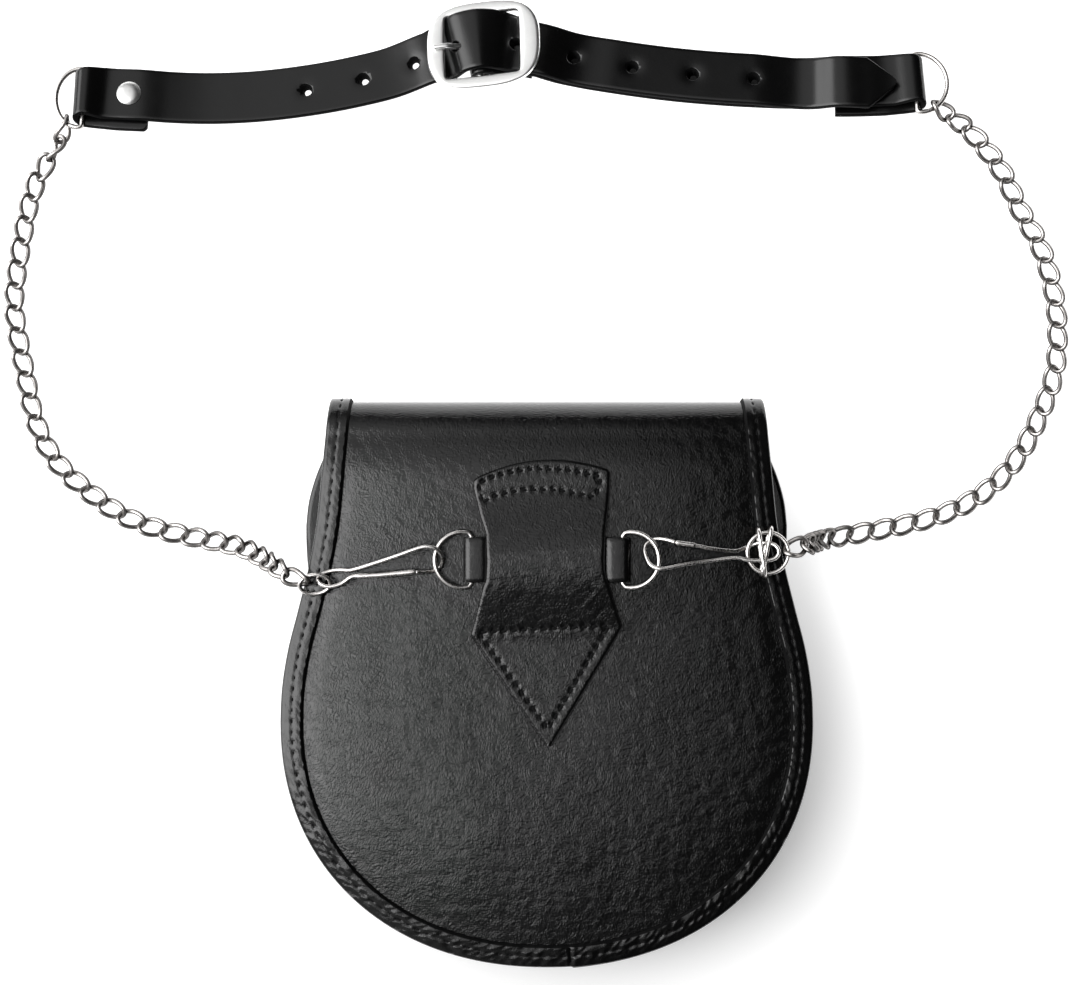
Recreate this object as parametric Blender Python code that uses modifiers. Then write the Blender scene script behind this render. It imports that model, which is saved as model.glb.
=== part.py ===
"""Sporran pouch of black leather, lying on its front, with its strap-and-chain belt clipped on.

Run with: blender --background --python part.py

All sizes below are millimetres, and MM turns them into Blender's metres. +Z is up. The tables
use the layout's own X (across the pouch) and Y (from the pouch to the buckle); LAYOUT_CENTRE
moves the middle of the whole layout to the origin. The pouch itself is drawn from its axis and
its widest line, the belt along its own curve (belt_point).
"""
import math

import bmesh
import bpy
import numpy as np
from mathutils import Matrix, Vector
from mathutils.geometry import interpolate_bezier

MM = 0.001
GAP = 0.3                       # clearance between pieces that touch
LAYOUT_CENTRE = (-0.126, 5.481)  # middle of the layout's box, before the move to the origin

# Pouch: x from its axis, y from its widest line
POUCH_AXIS_X = 3.5
POUCH_WIDEST_Y = -77.5
LEATHER = 2.0                   # back panel, flap and front panel
BACK_EDGE_Z = 31.0              # outer face of the back panel at its edge
BACK_CROWN = 4.0                # rise from that edge to the middle
BACK_HALF_WIDTH = 88.9
BACK_DROP = 81.8                # widest line down to the lowest point
BACK_ROUNDNESS = 2.15           # exponent of the superellipse below the widest line
BACK_TOP_Y = 108.6
BACK_SIDE = (                   # (y, half_width) from the widest line up to the top
    (0.0, 88.9), (8.7, 88.6), (24.9, 86.6), (41.0, 83.5),
    (62.2, 79.1), (84.8, 76.0), (108.6, 73.7))
ROLL_REACH = 17.0               # how far the rolled top stands out past the flat panel
FLAP_HALF_WIDTH = 83.4
FLAP_WIDEST_Y = 66.0
FLAP_DROP = 92.0
FLAP_ROUNDNESS = 2.2
FLAP_SIDE = (                   # (y, half_width) from the flap's widest line up to the roll
    (66.0, 83.4), (74.0, 82.6), (82.0, 80.6), (91.6, 77.2))
FLAP_RIM_Z = 1.4                # outer face of the flap at its rim, so that the binding lies at 0

# The cover's mesh: shares of the half width, shares of a rounded end's quarter, rows above it
COLUMNS = (-1.0, -0.84, -0.52, -0.18, 0.18, 0.52, 0.84, 1.0)
END_SHARES = (0.0, 0.17, 0.34, 0.5, 0.64, 0.77, 0.87)
LAST_SHARE = 0.95
BACK_ROWS_Y = (91.6, 70.0, 44.0, 20.0)
FLAP_ROWS_Y = (91.6, 79.0)
ROLL_STEPS = 6

# Binding: a strip folded over the rim of the back panel and the flap
BINDING = 1.0
BINDING_COVER = 6.6             # width seen on the outer face
BINDING_TUCK = 4.6              # width inside

# Pouch body: gusset and front panel
GUSSET = 1.5
GUSSET_TOP_Y = 88.0
GUSSET_SECTION = (              # (in from the back panel's edge, level, height over it)
    (0.3, "back", 0.0), (9.2, "back", 0.0), (8.6, "middle", 0.0), (10.4, "front", GUSSET),
    (15.5, "front", GUSSET), (15.5, "front", 0.0), (8.6, "front", 0.0), (6.9, "middle", 0.0),
    (7.2, "back", -GUSSET), (0.3, "back", -GUSSET))
GUSSET_MIDDLE_Z = 18.0
FRONT_INSET = 7.2               # front panel's edge inside the back panel's
FRONT_Z = 5.2                   # outer face of the front panel in its middle
FRONT_LIFT = 3.0                # and how much higher its edge lies
FRONT_TOP_Y = 87.0
SNAP_RADIUS = 8.0
SNAP_Y = 22.0

# Hanger patch and the strap with the two rings that it holds on the back panel
HANGER_CENTRE = (-0.5, 54.9)
HANGER_TURN = 2.5               # degrees
HANGER_LEATHER = 1.6
HANGER_OUTLINE = (              # (v along the patch, half_width, lift over the ring strap 0..1)
    (28.2, 22.6, 0.0), (20.0, 22.3, 0.0), (14.2, 21.4, 0.0), (9.6, 20.3, 1.0), (0.0, 19.4, 1.0),
    (-9.6, 20.7, 1.0), (-14.2, 22.1, 0.0), (-24.6, 25.3, 0.0), (-37.5, 16.9, 0.0),
    (-50.0, 8.7, 0.0), (-62.4, 0.8, 0.0))
HANGER_TOP_BOW = 5.0            # how far its top edge arches past the first row
RING_STRAP_LENGTH = 57.0
RING_STRAP_WIDTH = 15.2
RING_STRAP_LAYER = 1.5
RING_WIRE = 0.75                # radii of the wires
POUCH_RING_RADIUS = 9.3
POUCH_RING_BAR_X = 25.4
POUCH_RING_CENTRE_X = 28.4

# Belt: x and y of its middle line seen from above, tilted on its upper edge
BELT_WIDTH = 18.6
BELT_TILT = math.radians(12.0)
BELT_LINE = (                   # (x, y)
    (-175.0, 138.8), (-158.0, 138.4), (-140.0, 137.5), (-122.0, 137.0), (-107.0, 137.3),
    (-86.0, 139.1),
    (-65.0, 142.6), (-51.0, 146.0), (-37.0, 150.6), (-18.5, 154.6), (-4.0, 153.6),
    (4.7, 151.8), (18.7, 149.2), (32.7, 147.0), (46.6, 145.2), (67.5, 143.4), (88.5, 142.5),
    (109.5, 142.2), (130.0, 143.0), (150.0, 144.4))
BILLET = 2.4                    # thicknesses of the two straps
BUCKLE_STRAP = 2.2
BILLET_ROUTE = (                # (x, what it lies on, lift over that), right of its left turn
    (-150.5, "itself", 0.0), (-135.5, "itself", 0.0), (-127.0, "floor", 0.0),
    (-100.0, "floor", 0.0), (-80.0, "floor", 0.0), (-62.0, "floor", 0.0), (-44.0, "floor", 0.0),
    (-37.0, "floor", 2.1), (-31.0, "floor", 2.5), (-28.0, "floor", 4.0), (-25.5, "floor", 7.0),
    (-23.2, "bar", -0.2), (-20.6, "bar", 0.2), (-17.5, "bar", -0.2), (-13.5, "strap", 4.6),
    (-9.5, "strap", 2.7), (-2.0, "strap", 2.55), (4.0, "strap", 2.3), (11.0, "strap", 0.3),
    (28.0, "strap", 0.0), (50.0, "strap", 0.0), (75.0, "strap", 0.0))
BILLET_END = (                  # (x, lift over the turned strap, half_width, share of the shift)
    (97.0, -2.5, 9.3, 0.45), (104.0, 1.0, 9.3, 0.7), (114.6, 1.0, 9.3, 1.0),
    (123.4, 0.4, 2.4, 1.0), (124.6, 0.4, 0.8, 1.0))
BUCKLE_STRAP_ROUTE = (          # (x, what it lies on, lift over that), between its two turns
    (-18.0, "bar", -0.15), (-14.5, "floor", 4.1), (-9.5, "itself", 0.0), (1.0, "itself", 0.0),
    (9.0, "floor", 0.0), (28.0, "floor", 0.0), (50.0, "floor", 0.0), (75.0, "floor", 0.0),
    (97.0, "floor", 0.0), (103.5, "itself", 0.0), (124.0, "itself", 0.1))
BELT_RING_HEIGHT = 10.8         # half height of the rings, across the belt
BELT_RING_CORNER = 1.2          # where their arcs turn into the bars
BELT_RING_WIRE = 0.8
LEFT_BAR_X = -157.4
LEFT_RING_END_X = -167.1
LEFT_RING_SHIFT = -2.0          # across the belt, from the middle of its upper layer
LEFT_UNDER_SHIFT = -3.0         # and how far the turned-under end lies off that middle
RIGHT_BAR_X = 131.6
RIGHT_RING_END_X = 142.8
RIGHT_RING_SHIFT = -1.4
RIGHT_UNDER_SHIFT = -2.6
FOLD_HALF_WIDTH = 8.6           # the straps are pinched a little where they turn
LEFT_TURN_END_X = -135.0
RIGHT_TURN_END_X = 104.0
BILLET_END_SHIFT = -1.9         # the billet's end lies off the middle of the buckle strap
HOLE_RADIUS = 1.9
HOLES_X = (-80.3, -60.4, -42.7, -7.2, 12.8, 33.1, 54.1, 75.4)
RIVET_LEFT_X = -142.5
RIVET_RIGHT_X = 110.0

# Buckle, in the belt's own (along, across, height)
BUCKLE_X = -18.4
BUCKLE_SIZE = (40.3, 30.2)
BUCKLE_WINDOW = (26.0, 21.9)
BUCKLE_WINDOW_SHIFT = -0.5
BUCKLE_TURN = math.radians(3.5)
BUCKLE_HEIGHT = (5.5, 8.7)      # under face at its left and right ends
BUCKLE_THICK = 2.2
BUCKLE_BAR_X = -20.6
BUCKLE_BAR_RADIUS = 1.3
BUCKLE_FOLD_GAP = 0.6           # the strap lies looser round the bar, because the belt curves there
PRONG_RADIUS = 0.95
RIVET_SHANK = 1.5
CLIP_WIRE = 0.72

# Chain: oval links of round wire, twisted so that they lie flat in each other
LINK_HALF_LENGTH = 4.60         # of the wire's middle line
LINK_HALF_WIDTH = 3.05
LINK_WIRE = 0.64
LINK_TWIST = 1.05               # how far the middle line waves out of the link's plane
LINK_SEGMENTS = 10
WIRE_SIDES = 5
LINK_BITE = 0.10                # how far linked ends press into each other, which fuses them

# Clips: one bent wire each
CLIP_LEFT = (                   # (x, y, z, width) from the sleeve round the eye to the hook
    (-40.9, -26.6, 38.6, 1.3), (-52.0, -27.6, 38.0, 1.3), (-58.0, -28.0, 37.7, 1.3),
    (-61.9, -28.3, 37.5, 1.0), (-65.4, -30.6, 37.2, 1.0), (-69.0, -31.6, 37.1, 1.0),
    (-72.0, -31.0, 36.8, 1.0), (-73.4, -29.4, 35.7, 1.0), (-72.5, -27.7, 34.5, 1.0),
    (-69.2, -26.4, 34.3, 1.0), (-65.6, -26.0, 35.2, 1.0), (-62.0, -26.0, 36.4, 1.0),
    (-54.0, -23.6, 38.2, 1.0), (-46.0, -20.9, 39.7, 1.0), (-38.8, -18.4, 40.5, 1.0),
    (-35.6, -18.2, 40.6, 1.0), (-33.2, -19.0, 40.2, 1.0), (-31.7, -21.3, 38.7, 1.0),
    (-31.6, -23.6, 37.0, 1.0), (-32.8, -25.6, 36.1, 1.0), (-35.2, -26.5, 36.2, 1.0),
    (-38.0, -26.8, 37.3, 1.0), (-40.2, -26.7, 38.4, 1.0))
CLIP_RIGHT = (
    (47.0, -16.8, 39.0, 1.3), (52.0, -17.5, 38.9, 1.3), (54.0, -17.9, 38.8, 1.0),
    (60.0, -19.0, 38.2, 1.0), (66.8, -19.6, 36.2, 1.0), (70.4, -18.5, 35.0, 1.0),
    (73.8, -17.2, 35.9, 1.0), (77.0, -16.9, 37.2, 1.0), (80.0, -17.8, 38.2, 1.0),
    (81.2, -20.0, 38.5, 1.0), (80.0, -22.0, 38.5, 1.0), (77.0, -22.8, 38.5, 1.0),
    (73.6, -22.8, 38.5, 1.0), (70.4, -22.6, 38.5, 1.0), (66.8, -21.9, 38.5, 1.0),
    (58.0, -22.9, 38.9, 1.0), (50.0, -24.0, 39.8, 1.0), (43.5, -25.3, 40.4, 1.0),
    (40.7, -25.4, 40.5, 1.0), (38.2, -24.2, 39.7, 1.0), (36.8, -21.6, 38.0, 1.0),
    (36.4, -18.8, 36.5, 1.0), (37.6, -16.6, 35.9, 1.0), (40.2, -15.6, 36.2, 1.0),
    (43.4, -15.8, 37.6, 1.0), (46.2, -16.6, 38.8, 1.0))

# Chains: from the ring on the belt to the ring on the clip
CHAIN_LEFT = (                  # (x, y, height of the lowest point, roll of the links)
    (-163.2, 129.5, 4.4, 125), (-165.0, 122.2, 1.2, 95), (-169.6, 116.2, 0.3, 20),
    (-174.1, 109.9, 0.15, 0), (-177.3, 99.0, 0.15, 8), (-179.6, 88.0, 0.15, 0),
    (-181.4, 77.0, 0.15, 0), (-182.3, 66.0, 0.15, 8), (-180.9, 54.0, 0.15, 0),
    (-178.2, 40.0, 0.15, 0), (-175.6, 28.0, 0.15, 10), (-171.5, 16.5, 0.15, 0),
    (-165.0, 7.8, 0.15, 8), (-156.0, 0.0, 0.15, 0), (-146.5, -6.8, 0.15, 8),
    (-135.5, -11.8, 0.15, 0), (-122.3, -15.1, 0.15, 0), (-111.5, -17.0, 3.4, 0),
    (-101.0, -19.0, 10.2, 0), (-93.6, -22.2, 18.6, 5), (-88.4, -24.4, 27.2, 16),
    (-84.4, -27.0, 31.9, 29), (-77.2, -30.2, 32.6, 40))
CHAIN_RIGHT = (
    (138.1, 135.2, 4.2, -38), (143.8, 130.2, 2.0, -22), (150.4, 126.9, 0.4, -6),
    (156.0, 120.8, 0.15, 0), (162.7, 112.0, 0.15, 8), (168.6, 98.7, 0.15, 0),
    (176.0, 85.8, 0.15, 0), (180.3, 71.1, 0.15, 0), (181.9, 56.8, 0.15, 8),
    (180.8, 41.1, 0.15, 0), (175.5, 26.7, 0.15, 0), (168.9, 13.5, 0.15, 8),
    (159.3, 2.3, 0.15, 0), (147.0, -5.6, 0.15, 8), (135.5, -9.6, 0.15, 0),
    (125.0, -12.0, 0.15, 0), (112.5, -14.3, 0.15, 0), (104.0, -15.6, 3.0, 0),
    (98.8, -16.3, 9.8, 0), (95.6, -16.8, 17.6, 0), (93.6, -17.1, 25.4, 5),
    (90.2, -18.2, 31.6, 18), (83.6, -19.4, 34.0, 30))


def smooth_table(table, at):
    """A smooth curve through a table's rows, read at `at`: first column in, second out."""
    rows = np.array(sorted(row[:2] for row in table))
    x, y = rows[:, 0], rows[:, 1]
    slope = np.gradient(y, x)
    i = int(np.clip(np.searchsorted(x, at) - 1, 0, len(x) - 2))
    span = x[i + 1] - x[i]
    t = (at - x[i]) / span
    return float((2 * t**3 - 3 * t**2 + 1) * y[i] + (t**3 - 2 * t**2 + t) * span * slope[i]
                 + (3 * t**2 - 2 * t**3) * y[i + 1] + (t**3 - t**2) * span * slope[i + 1])


def smooth_route(points, per_span=8):
    """Closely spaced points on a smooth curve through a list of points."""
    p = [Vector(point) for point in points]
    p = [2 * p[0] - p[1], *p, 2 * p[-1] - p[-2]]
    route = []
    for before, start, end, after in zip(p, p[1:], p[2:], p[3:]):
        route += interpolate_bezier(start, start + (end - before) / 6, end - (after - start) / 6,
                                    end, per_span + 1)[:-1]
    return [*route, p[-2]]


# ---------------------------------------------------------------- objects and materials

def material(name, colour, roughness, metallic=0.0):
    made = bpy.data.materials.get(name)
    if made is None:
        made = bpy.data.materials.new(name)
        made.use_nodes = True
        shader = made.node_tree.nodes["Principled BSDF"]
        shader.inputs["Base Color"].default_value = (*colour, 1.0)
        shader.inputs["Roughness"].default_value = roughness
        shader.inputs["Metallic"].default_value = metallic
    return made


def leather():
    return material("black_leather", (0.018, 0.018, 0.019), 0.55)


def binding_leather():
    return material("black_binding", (0.014, 0.014, 0.015), 0.6)


def strap_leather():
    return material("black_strap", (0.012, 0.012, 0.013), 0.5)


def nickel():
    return material("nickel_wire", (0.66, 0.64, 0.61), 0.22, 1.0)


def polished_nickel():
    return material("polished_nickel", (0.86, 0.86, 0.85), 0.12, 1.0)


def collection(name):
    found = bpy.data.collections.get(name)
    if found is None:
        found = bpy.data.collections.new(name)
        bpy.context.scene.collection.children.link(found)
    return found


def add_object(name, data, finish, helper=False):
    """Link an object into the model, or as a cutter or a guide that isn't part of it."""
    made = bpy.data.objects.new(name, data)
    collection("cutters" if helper else "sporran_pouch").objects.link(made)
    if finish is not None:
        data.materials.append(finish)
    if helper:
        made.hide_render = True
        made.display_type = "WIRE"
    return made


def to_model(point):
    """A layout point in millimetres, as a point of the model in metres."""
    x, y, z = point
    return Vector((x - LAYOUT_CENTRE[0], y - LAYOUT_CENTRE[1], z)) * MM


def mesh_from(name, points, faces, sharp_angle=40.0):
    mesh = bpy.data.meshes.new(name)
    mesh.from_pydata([to_model(point) for point in points], [], faces)
    shell = bmesh.new()
    shell.from_mesh(mesh)
    bmesh.ops.recalc_face_normals(shell, faces=shell.faces)
    shell.to_mesh(mesh)
    shell.free()
    mesh.shade_smooth()
    mesh.set_sharp_from_angle(angle=math.radians(sharp_angle))
    return mesh


def loft(name, rings, closed, finish, helper=False):
    """A solid through rings of points, closed on itself or with flat ends."""
    count, size = len(rings), len(rings[0])
    points = [point for ring in rings for point in ring]
    faces = []
    for i in range(count if closed else count - 1):
        near, far = i * size, (i + 1) % count * size
        for k in range(size):
            after = (k + 1) % size
            faces.append((near + k, near + after, far + after, far + k))
    if not closed:
        faces += [tuple(range(size)), tuple(range((count - 1) * size, count * size))]
    return add_object(name, mesh_from(name, points, faces), finish, helper)


def sheet(name, rows, thickness, outward, finish):
    """Leather of even thickness: an open surface through rows of points, made solid.

    `outward` is a point of the side that the rows are drawn on; the leather lies behind it.
    """
    size = len(rows[0])
    points = [point for row in rows for point in row]
    faces = [(i * size + k, i * size + k + 1, (i + 1) * size + k + 1, (i + 1) * size + k)
             for i in range(len(rows) - 1) for k in range(size - 1)]
    mesh = mesh_from(name, points, faces)
    middle = mesh.polygons[len(mesh.polygons) // 2]
    if middle.normal.dot(to_model(outward) - middle.center) < 0:
        mesh.flip_normals()
    made = add_object(name, mesh, finish)
    solid = made.modifiers.new("leather", "SOLIDIFY")
    solid.thickness = thickness * MM
    solid.offset = -1.0
    solid.use_even_offset = True
    return made


def wire(name, points, radius, finish, cyclic=False, thick=None):
    """A bent wire: a poly curve with a round bevel. `thick` widens it point by point."""
    curve = bpy.data.curves.new(name, "CURVE")
    curve.dimensions = "3D"
    curve.bevel_depth = radius * MM
    curve.bevel_resolution = 1
    curve.use_fill_caps = True
    spline = curve.splines.new("POLY")
    spline.points.add(len(points) - 1)
    for knot, point in zip(spline.points, points):
        knot.co = (*to_model(point), 1.0)
    if thick is not None:
        for knot, factor in zip(spline.points, thick):
            knot.radius = factor
    spline.use_cyclic_u = cyclic
    return add_object(name, curve, finish)


def as_mesh(curve_object):
    """The same wire as a mesh with welded caps, ready to be joined or cut."""
    name = curve_object.name
    evaluated = curve_object.evaluated_get(bpy.context.evaluated_depsgraph_get())
    mesh = bpy.data.meshes.new_from_object(evaluated)
    shell = bmesh.new()
    shell.from_mesh(mesh)
    bmesh.ops.remove_doubles(shell, verts=shell.verts, dist=0.00001)
    bmesh.ops.recalc_face_normals(shell, faces=shell.faces)
    shell.to_mesh(mesh)
    shell.free()
    bpy.data.objects.remove(curve_object)
    return name, mesh


def boolean(target, operand, operation):
    modifier = target.modifiers.new(operation.lower(), "BOOLEAN")
    modifier.operation = operation
    modifier.object = operand
    return modifier


# ---------------------------------------------------------------- pouch

def pouch(x, y, z):
    """A point given from the pouch's axis and widest line, in the layout."""
    return Vector((POUCH_AXIS_X + x, POUCH_WIDEST_Y + y, z))


def round_end(share, half_width, drop, roundness):
    """Half width and drop at an angle's share of a superellipse's quarter."""
    angle = share * math.pi / 2
    return (half_width * math.cos(angle) ** (2 / roundness),
            drop * math.sin(angle) ** (2 / roundness))


def back_radius(x, y):
    """0 in the middle of the back panel and 1 on its edge."""
    if y >= 0:
        return abs(x) / smooth_table(BACK_SIDE, min(y, BACK_TOP_Y))
    n = BACK_ROUNDNESS
    return ((abs(x) / BACK_HALF_WIDTH) ** n + (-y / BACK_DROP) ** n) ** (1 / n)


def back_z(x, y):
    """Height of the back panel's outer face."""
    return BACK_EDGE_Z + BACK_CROWN * (1 - back_radius(x, y) ** 2)


def flap_z(across):
    """Height of the flap's outer face: on the floor in the middle, a little up at its rim."""
    share = min(1.0, max(0.0, (across - 0.55) / 0.3))
    return FLAP_RIM_Z * share**2 * (3 - 2 * share)


def end_row(columns, half_width, edge_drop, full_width, drop, roundness):
    """Points along the rounded end of a panel: x, and the y of its outline there."""
    row = []
    for u in columns:
        x = u * half_width
        y = -drop * (1 - (abs(x) / full_width) ** roundness) ** (1 / roundness)
        row.append((x, y if abs(u) < 1 else -edge_drop))
    return row


def back_rows():
    """Rows of the back panel's outer face from under the roll down to its lowest edge."""
    rows = []
    for y in BACK_ROWS_Y:
        half = smooth_table(BACK_SIDE, y)
        rows.append([(u * half, y) for u in COLUMNS])
    for share in END_SHARES:
        half, drop = round_end(share, BACK_HALF_WIDTH, BACK_DROP, BACK_ROUNDNESS)
        rows.append([(u * half, -drop) for u in COLUMNS])
    rows.append(end_row(COLUMNS, *round_end(LAST_SHARE, BACK_HALF_WIDTH, BACK_DROP, BACK_ROUNDNESS),
                        BACK_HALF_WIDTH, BACK_DROP, BACK_ROUNDNESS))
    return [[Vector((x, y, back_z(x, y))) for x, y in row] for row in rows]


def flap_rows():
    """Rows of the flap's outer face from its lowest edge up to the roll."""
    rows = []
    for y in FLAP_ROWS_Y:
        half = smooth_table(FLAP_SIDE, y)
        rows.append([(u * half, y, abs(u)) for u in COLUMNS])
    for share in END_SHARES:
        half, drop = round_end(share, FLAP_HALF_WIDTH, FLAP_DROP, FLAP_ROUNDNESS)
        rows.append([(u * half, FLAP_WIDEST_Y - drop, None) for u in COLUMNS])
    last = end_row(COLUMNS, *round_end(LAST_SHARE, FLAP_HALF_WIDTH, FLAP_DROP, FLAP_ROUNDNESS),
                   FLAP_HALF_WIDTH, FLAP_DROP, FLAP_ROUNDNESS)
    rows.append([(x, FLAP_WIDEST_Y + y, None) for x, y in last])
    shaped = []
    for row in reversed(rows):
        line = []
        for x, y, across in row:
            if across is None:
                n = FLAP_ROUNDNESS
                across = ((abs(x) / FLAP_HALF_WIDTH) ** n
                          + max(0.0, (FLAP_WIDEST_Y - y) / FLAP_DROP) ** n) ** (1 / n)
            line.append(Vector((x, y, flap_z(across))))
        shaped.append(line)
    return shaped


def roll_rows(flap_row, back_row):
    """Rows over the rolled top, from the flap's last row to the back panel's first."""
    rows = []
    for step in range(1, ROLL_STEPS):
        turn = step / ROLL_STEPS
        angle = turn * math.pi
        row = []
        for low, high in zip(flap_row, back_row):
            x = low.x + (high.x - low.x) * (0.5 - 0.5 * math.cos(angle))
            y = low.y + ROLL_REACH * math.sin(angle)
            z = (low.z + high.z) / 2 - (high.z - low.z) / 2 * math.cos(angle)
            row.append(Vector((x, y, z)))
        rows.append(row)
    return rows


def cover_rows():
    """The one leather that is flap, rolled top and back panel, as rows of its outer face."""
    low, high = flap_rows(), back_rows()
    return [*low, *roll_rows(low[-1], high[0]), *high]


def cover_face(on_back, point):
    """Direction that the outer face of the flap or the back looks in, near the rounded end."""
    if not on_back:
        return Vector((0, 0, -1))
    x, y = point.x * 0.99, point.y
    slope_x = back_z(x + 0.5, y) - back_z(x - 0.5, y)
    slope_y = back_z(x, y + 0.5) - back_z(x, y - 0.5)
    return Vector((-slope_x, -slope_y, 1)).normalized()


def rim_frames(rows):
    """Places round the cover's rim: (row, point, outward along the leather, out of its face).

    Up the left side of the rows, along the last one, down the right side, along the first.
    """
    last, ends = len(rows) - 1, len(rows[0]) - 1
    places = [(i, 0) for i in range(last + 1)]
    places += [(last, k) for k in range(1, ends)]
    places += [(i, ends) for i in range(last, -1, -1)]
    places += [(0, k) for k in range(ends - 1, 0, -1)]
    frames = []
    for number, (i, k) in enumerate(places):
        before_i, before_k = places[number - 1]
        after_i, after_k = places[(number + 1) % len(places)]
        tangent = (rows[after_i][after_k] - rows[before_i][before_k]).normalized()
        if min(i, last - i) < 3:
            outward = tangent.cross(cover_face(i > last / 2, rows[i][k])).normalized()
        else:
            inward = rows[i][1 if k == 0 else k - 1] - rows[i][k]
            outward = (tangent * inward.dot(tangent) - inward).normalized()
        frames.append((i, rows[i][k], outward, outward.cross(tangent)))
    return frames


def make_cover(rows):
    return sheet("back_and_flap", [[pouch(*p) for p in row] for row in rows], LEATHER,
                 pouch(0, 60, 500), leather())


def make_binding(rows):
    """A strip folded round the whole rim; on the back panel it also takes in the gusset."""
    first_back = len(rows) - len(back_rows())
    rings = []
    for row, point, outward, face in rim_frames(rows):
        share = max(0.0, min(1.0, (row - first_back + 3) / 2))
        held = LEATHER + share * (GAP + GUSSET)
        low, high = -(held + GAP), GAP
        section = ((-BINDING_COVER, high), (GAP, high), (GAP, low), (-BINDING_TUCK, low),
                   (-BINDING_TUCK, low - BINDING), (GAP + BINDING * 0.8, low - BINDING),
                   (GAP + BINDING, high + BINDING * 0.3), (GAP * 0.5, high + BINDING),
                   (-BINDING_COVER, high + BINDING * 0.9))
        rings.append([pouch(*(point + outward * o + face * d)) for o, d in section])
    return loft("edge_binding", rings, True, binding_leather())


def body_outline():
    """(x, y) round the pouch body's edge from its top left, down and up to its top right."""
    side = [(-smooth_table(BACK_SIDE, y), y) for y in (GUSSET_TOP_Y, *BACK_ROWS_Y[1:])]
    for share in (*END_SHARES, LAST_SHARE):
        half, drop = round_end(share, BACK_HALF_WIDTH, BACK_DROP, BACK_ROUNDNESS)
        side.append((-half, -drop))
    return [Vector(p) for p in (*side, *((-x, y) for x, y in reversed(side)))]


def front_scale():
    """Width and drop of the front panel as shares of the back panel's."""
    return 1 - FRONT_INSET / BACK_HALF_WIDTH, 1 - FRONT_INSET / BACK_DROP


def front_z(x, y):
    """Height of the front panel's outer face."""
    scale_x, scale_y = front_scale()
    radius = back_radius(x / scale_x, min(y, 80.0) if y > 0 else y / scale_y)
    return FRONT_Z + FRONT_LIFT * min(radius, 1.0) ** 4


def gusset_level(level, x, y):
    """The height that a row of the gusset's section is measured from."""
    if level == "back":
        return back_z(x, y) - LEATHER - GAP
    if level == "front":
        return front_z(x, y) + LEATHER + GAP
    return GUSSET_MIDDLE_Z


def make_gusset():
    """The strip between back and front: a flange under the back panel, a wall, a front flange."""
    outline = body_outline()
    rings = []
    for number, point in enumerate(outline):
        before = outline[max(number - 1, 0)]
        after = outline[min(number + 1, len(outline) - 1)]
        tangent = (after - before).normalized()
        ring = []
        for inset, level, height in GUSSET_SECTION:
            x, y = point + Vector((-tangent.y, tangent.x)) * inset
            ring.append(pouch(x, y, gusset_level(level, x, y) + height))
        rings.append(ring)
    return loft("gusset", rings, False, leather())


def make_front_panel():
    rows = []
    scale_x, scale_y = front_scale()
    for y in (FRONT_TOP_Y, *BACK_ROWS_Y[1:]):
        half = smooth_table(BACK_SIDE, y) - FRONT_INSET
        rows.append([(u * half, y) for u in COLUMNS])
    for share in END_SHARES:
        half, drop = round_end(share, BACK_HALF_WIDTH, BACK_DROP, BACK_ROUNDNESS)
        rows.append([(u * half * scale_x, -drop * scale_y) for u in COLUMNS])
    half, drop = round_end(LAST_SHARE, BACK_HALF_WIDTH, BACK_DROP, BACK_ROUNDNESS)
    rows.append(end_row(COLUMNS, half * scale_x, drop * scale_y, BACK_HALF_WIDTH * scale_x,
                        BACK_DROP * scale_y, BACK_ROUNDNESS))
    shaped = [[pouch(x, y, front_z(x, y)) for x, y in row] for row in rows]
    return sheet("front_panel", shaped, LEATHER, pouch(0, 0, -500), leather())


def make_flap_snap():
    """The hidden closure between the flap and the front panel, as one plain disc."""
    low = LEATHER + GAP
    high = FRONT_Z - GAP
    rings = []
    for z in (low, high):
        rings.append([pouch(SNAP_RADIUS * math.cos(2 * math.pi * k / 12),
                            SNAP_Y + SNAP_RADIUS * math.sin(2 * math.pi * k / 12), z)
                      for k in range(12)])
    return loft("flap_snap", rings, False, nickel())


def hanger_point(u, v):
    """A point of the hanger patch's own axes, as x and y on the pouch."""
    turn = math.radians(HANGER_TURN)
    return (HANGER_CENTRE[0] + u * math.cos(turn) - v * math.sin(turn),
            HANGER_CENTRE[1] + u * math.sin(turn) + v * math.cos(turn))


def make_hanger_patch():
    """The stitched patch, arched over the ring strap like a belt loop."""
    lift = 2 * RING_STRAP_LAYER + 2.5 * GAP
    shares = [-1.0, -0.6, -0.2, 0.2, 0.6, 1.0]
    rows = []
    for number, (v, half, over) in enumerate(HANGER_OUTLINE):
        row = []
        for share in shares:
            bow = HANGER_TOP_BOW * (1 - share**2) if number == 0 else 0.0
            x, y = hanger_point(share * half, v + bow)
            base = back_z(x, y) * (1 - over) + back_z(0, HANGER_CENTRE[1]) * over
            row.append(pouch(x, y, base + GAP + over * lift + HANGER_LEATHER))
        rows.append(row)
    return sheet("hanger_patch", rows, HANGER_LEATHER, pouch(0, 60, 500), leather())


def ring_strap_z():
    """Height of the middle of the ring strap, where the bars of the two rings lie."""
    return back_z(0, HANGER_CENTRE[1]) + GAP + RING_STRAP_LAYER


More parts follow.
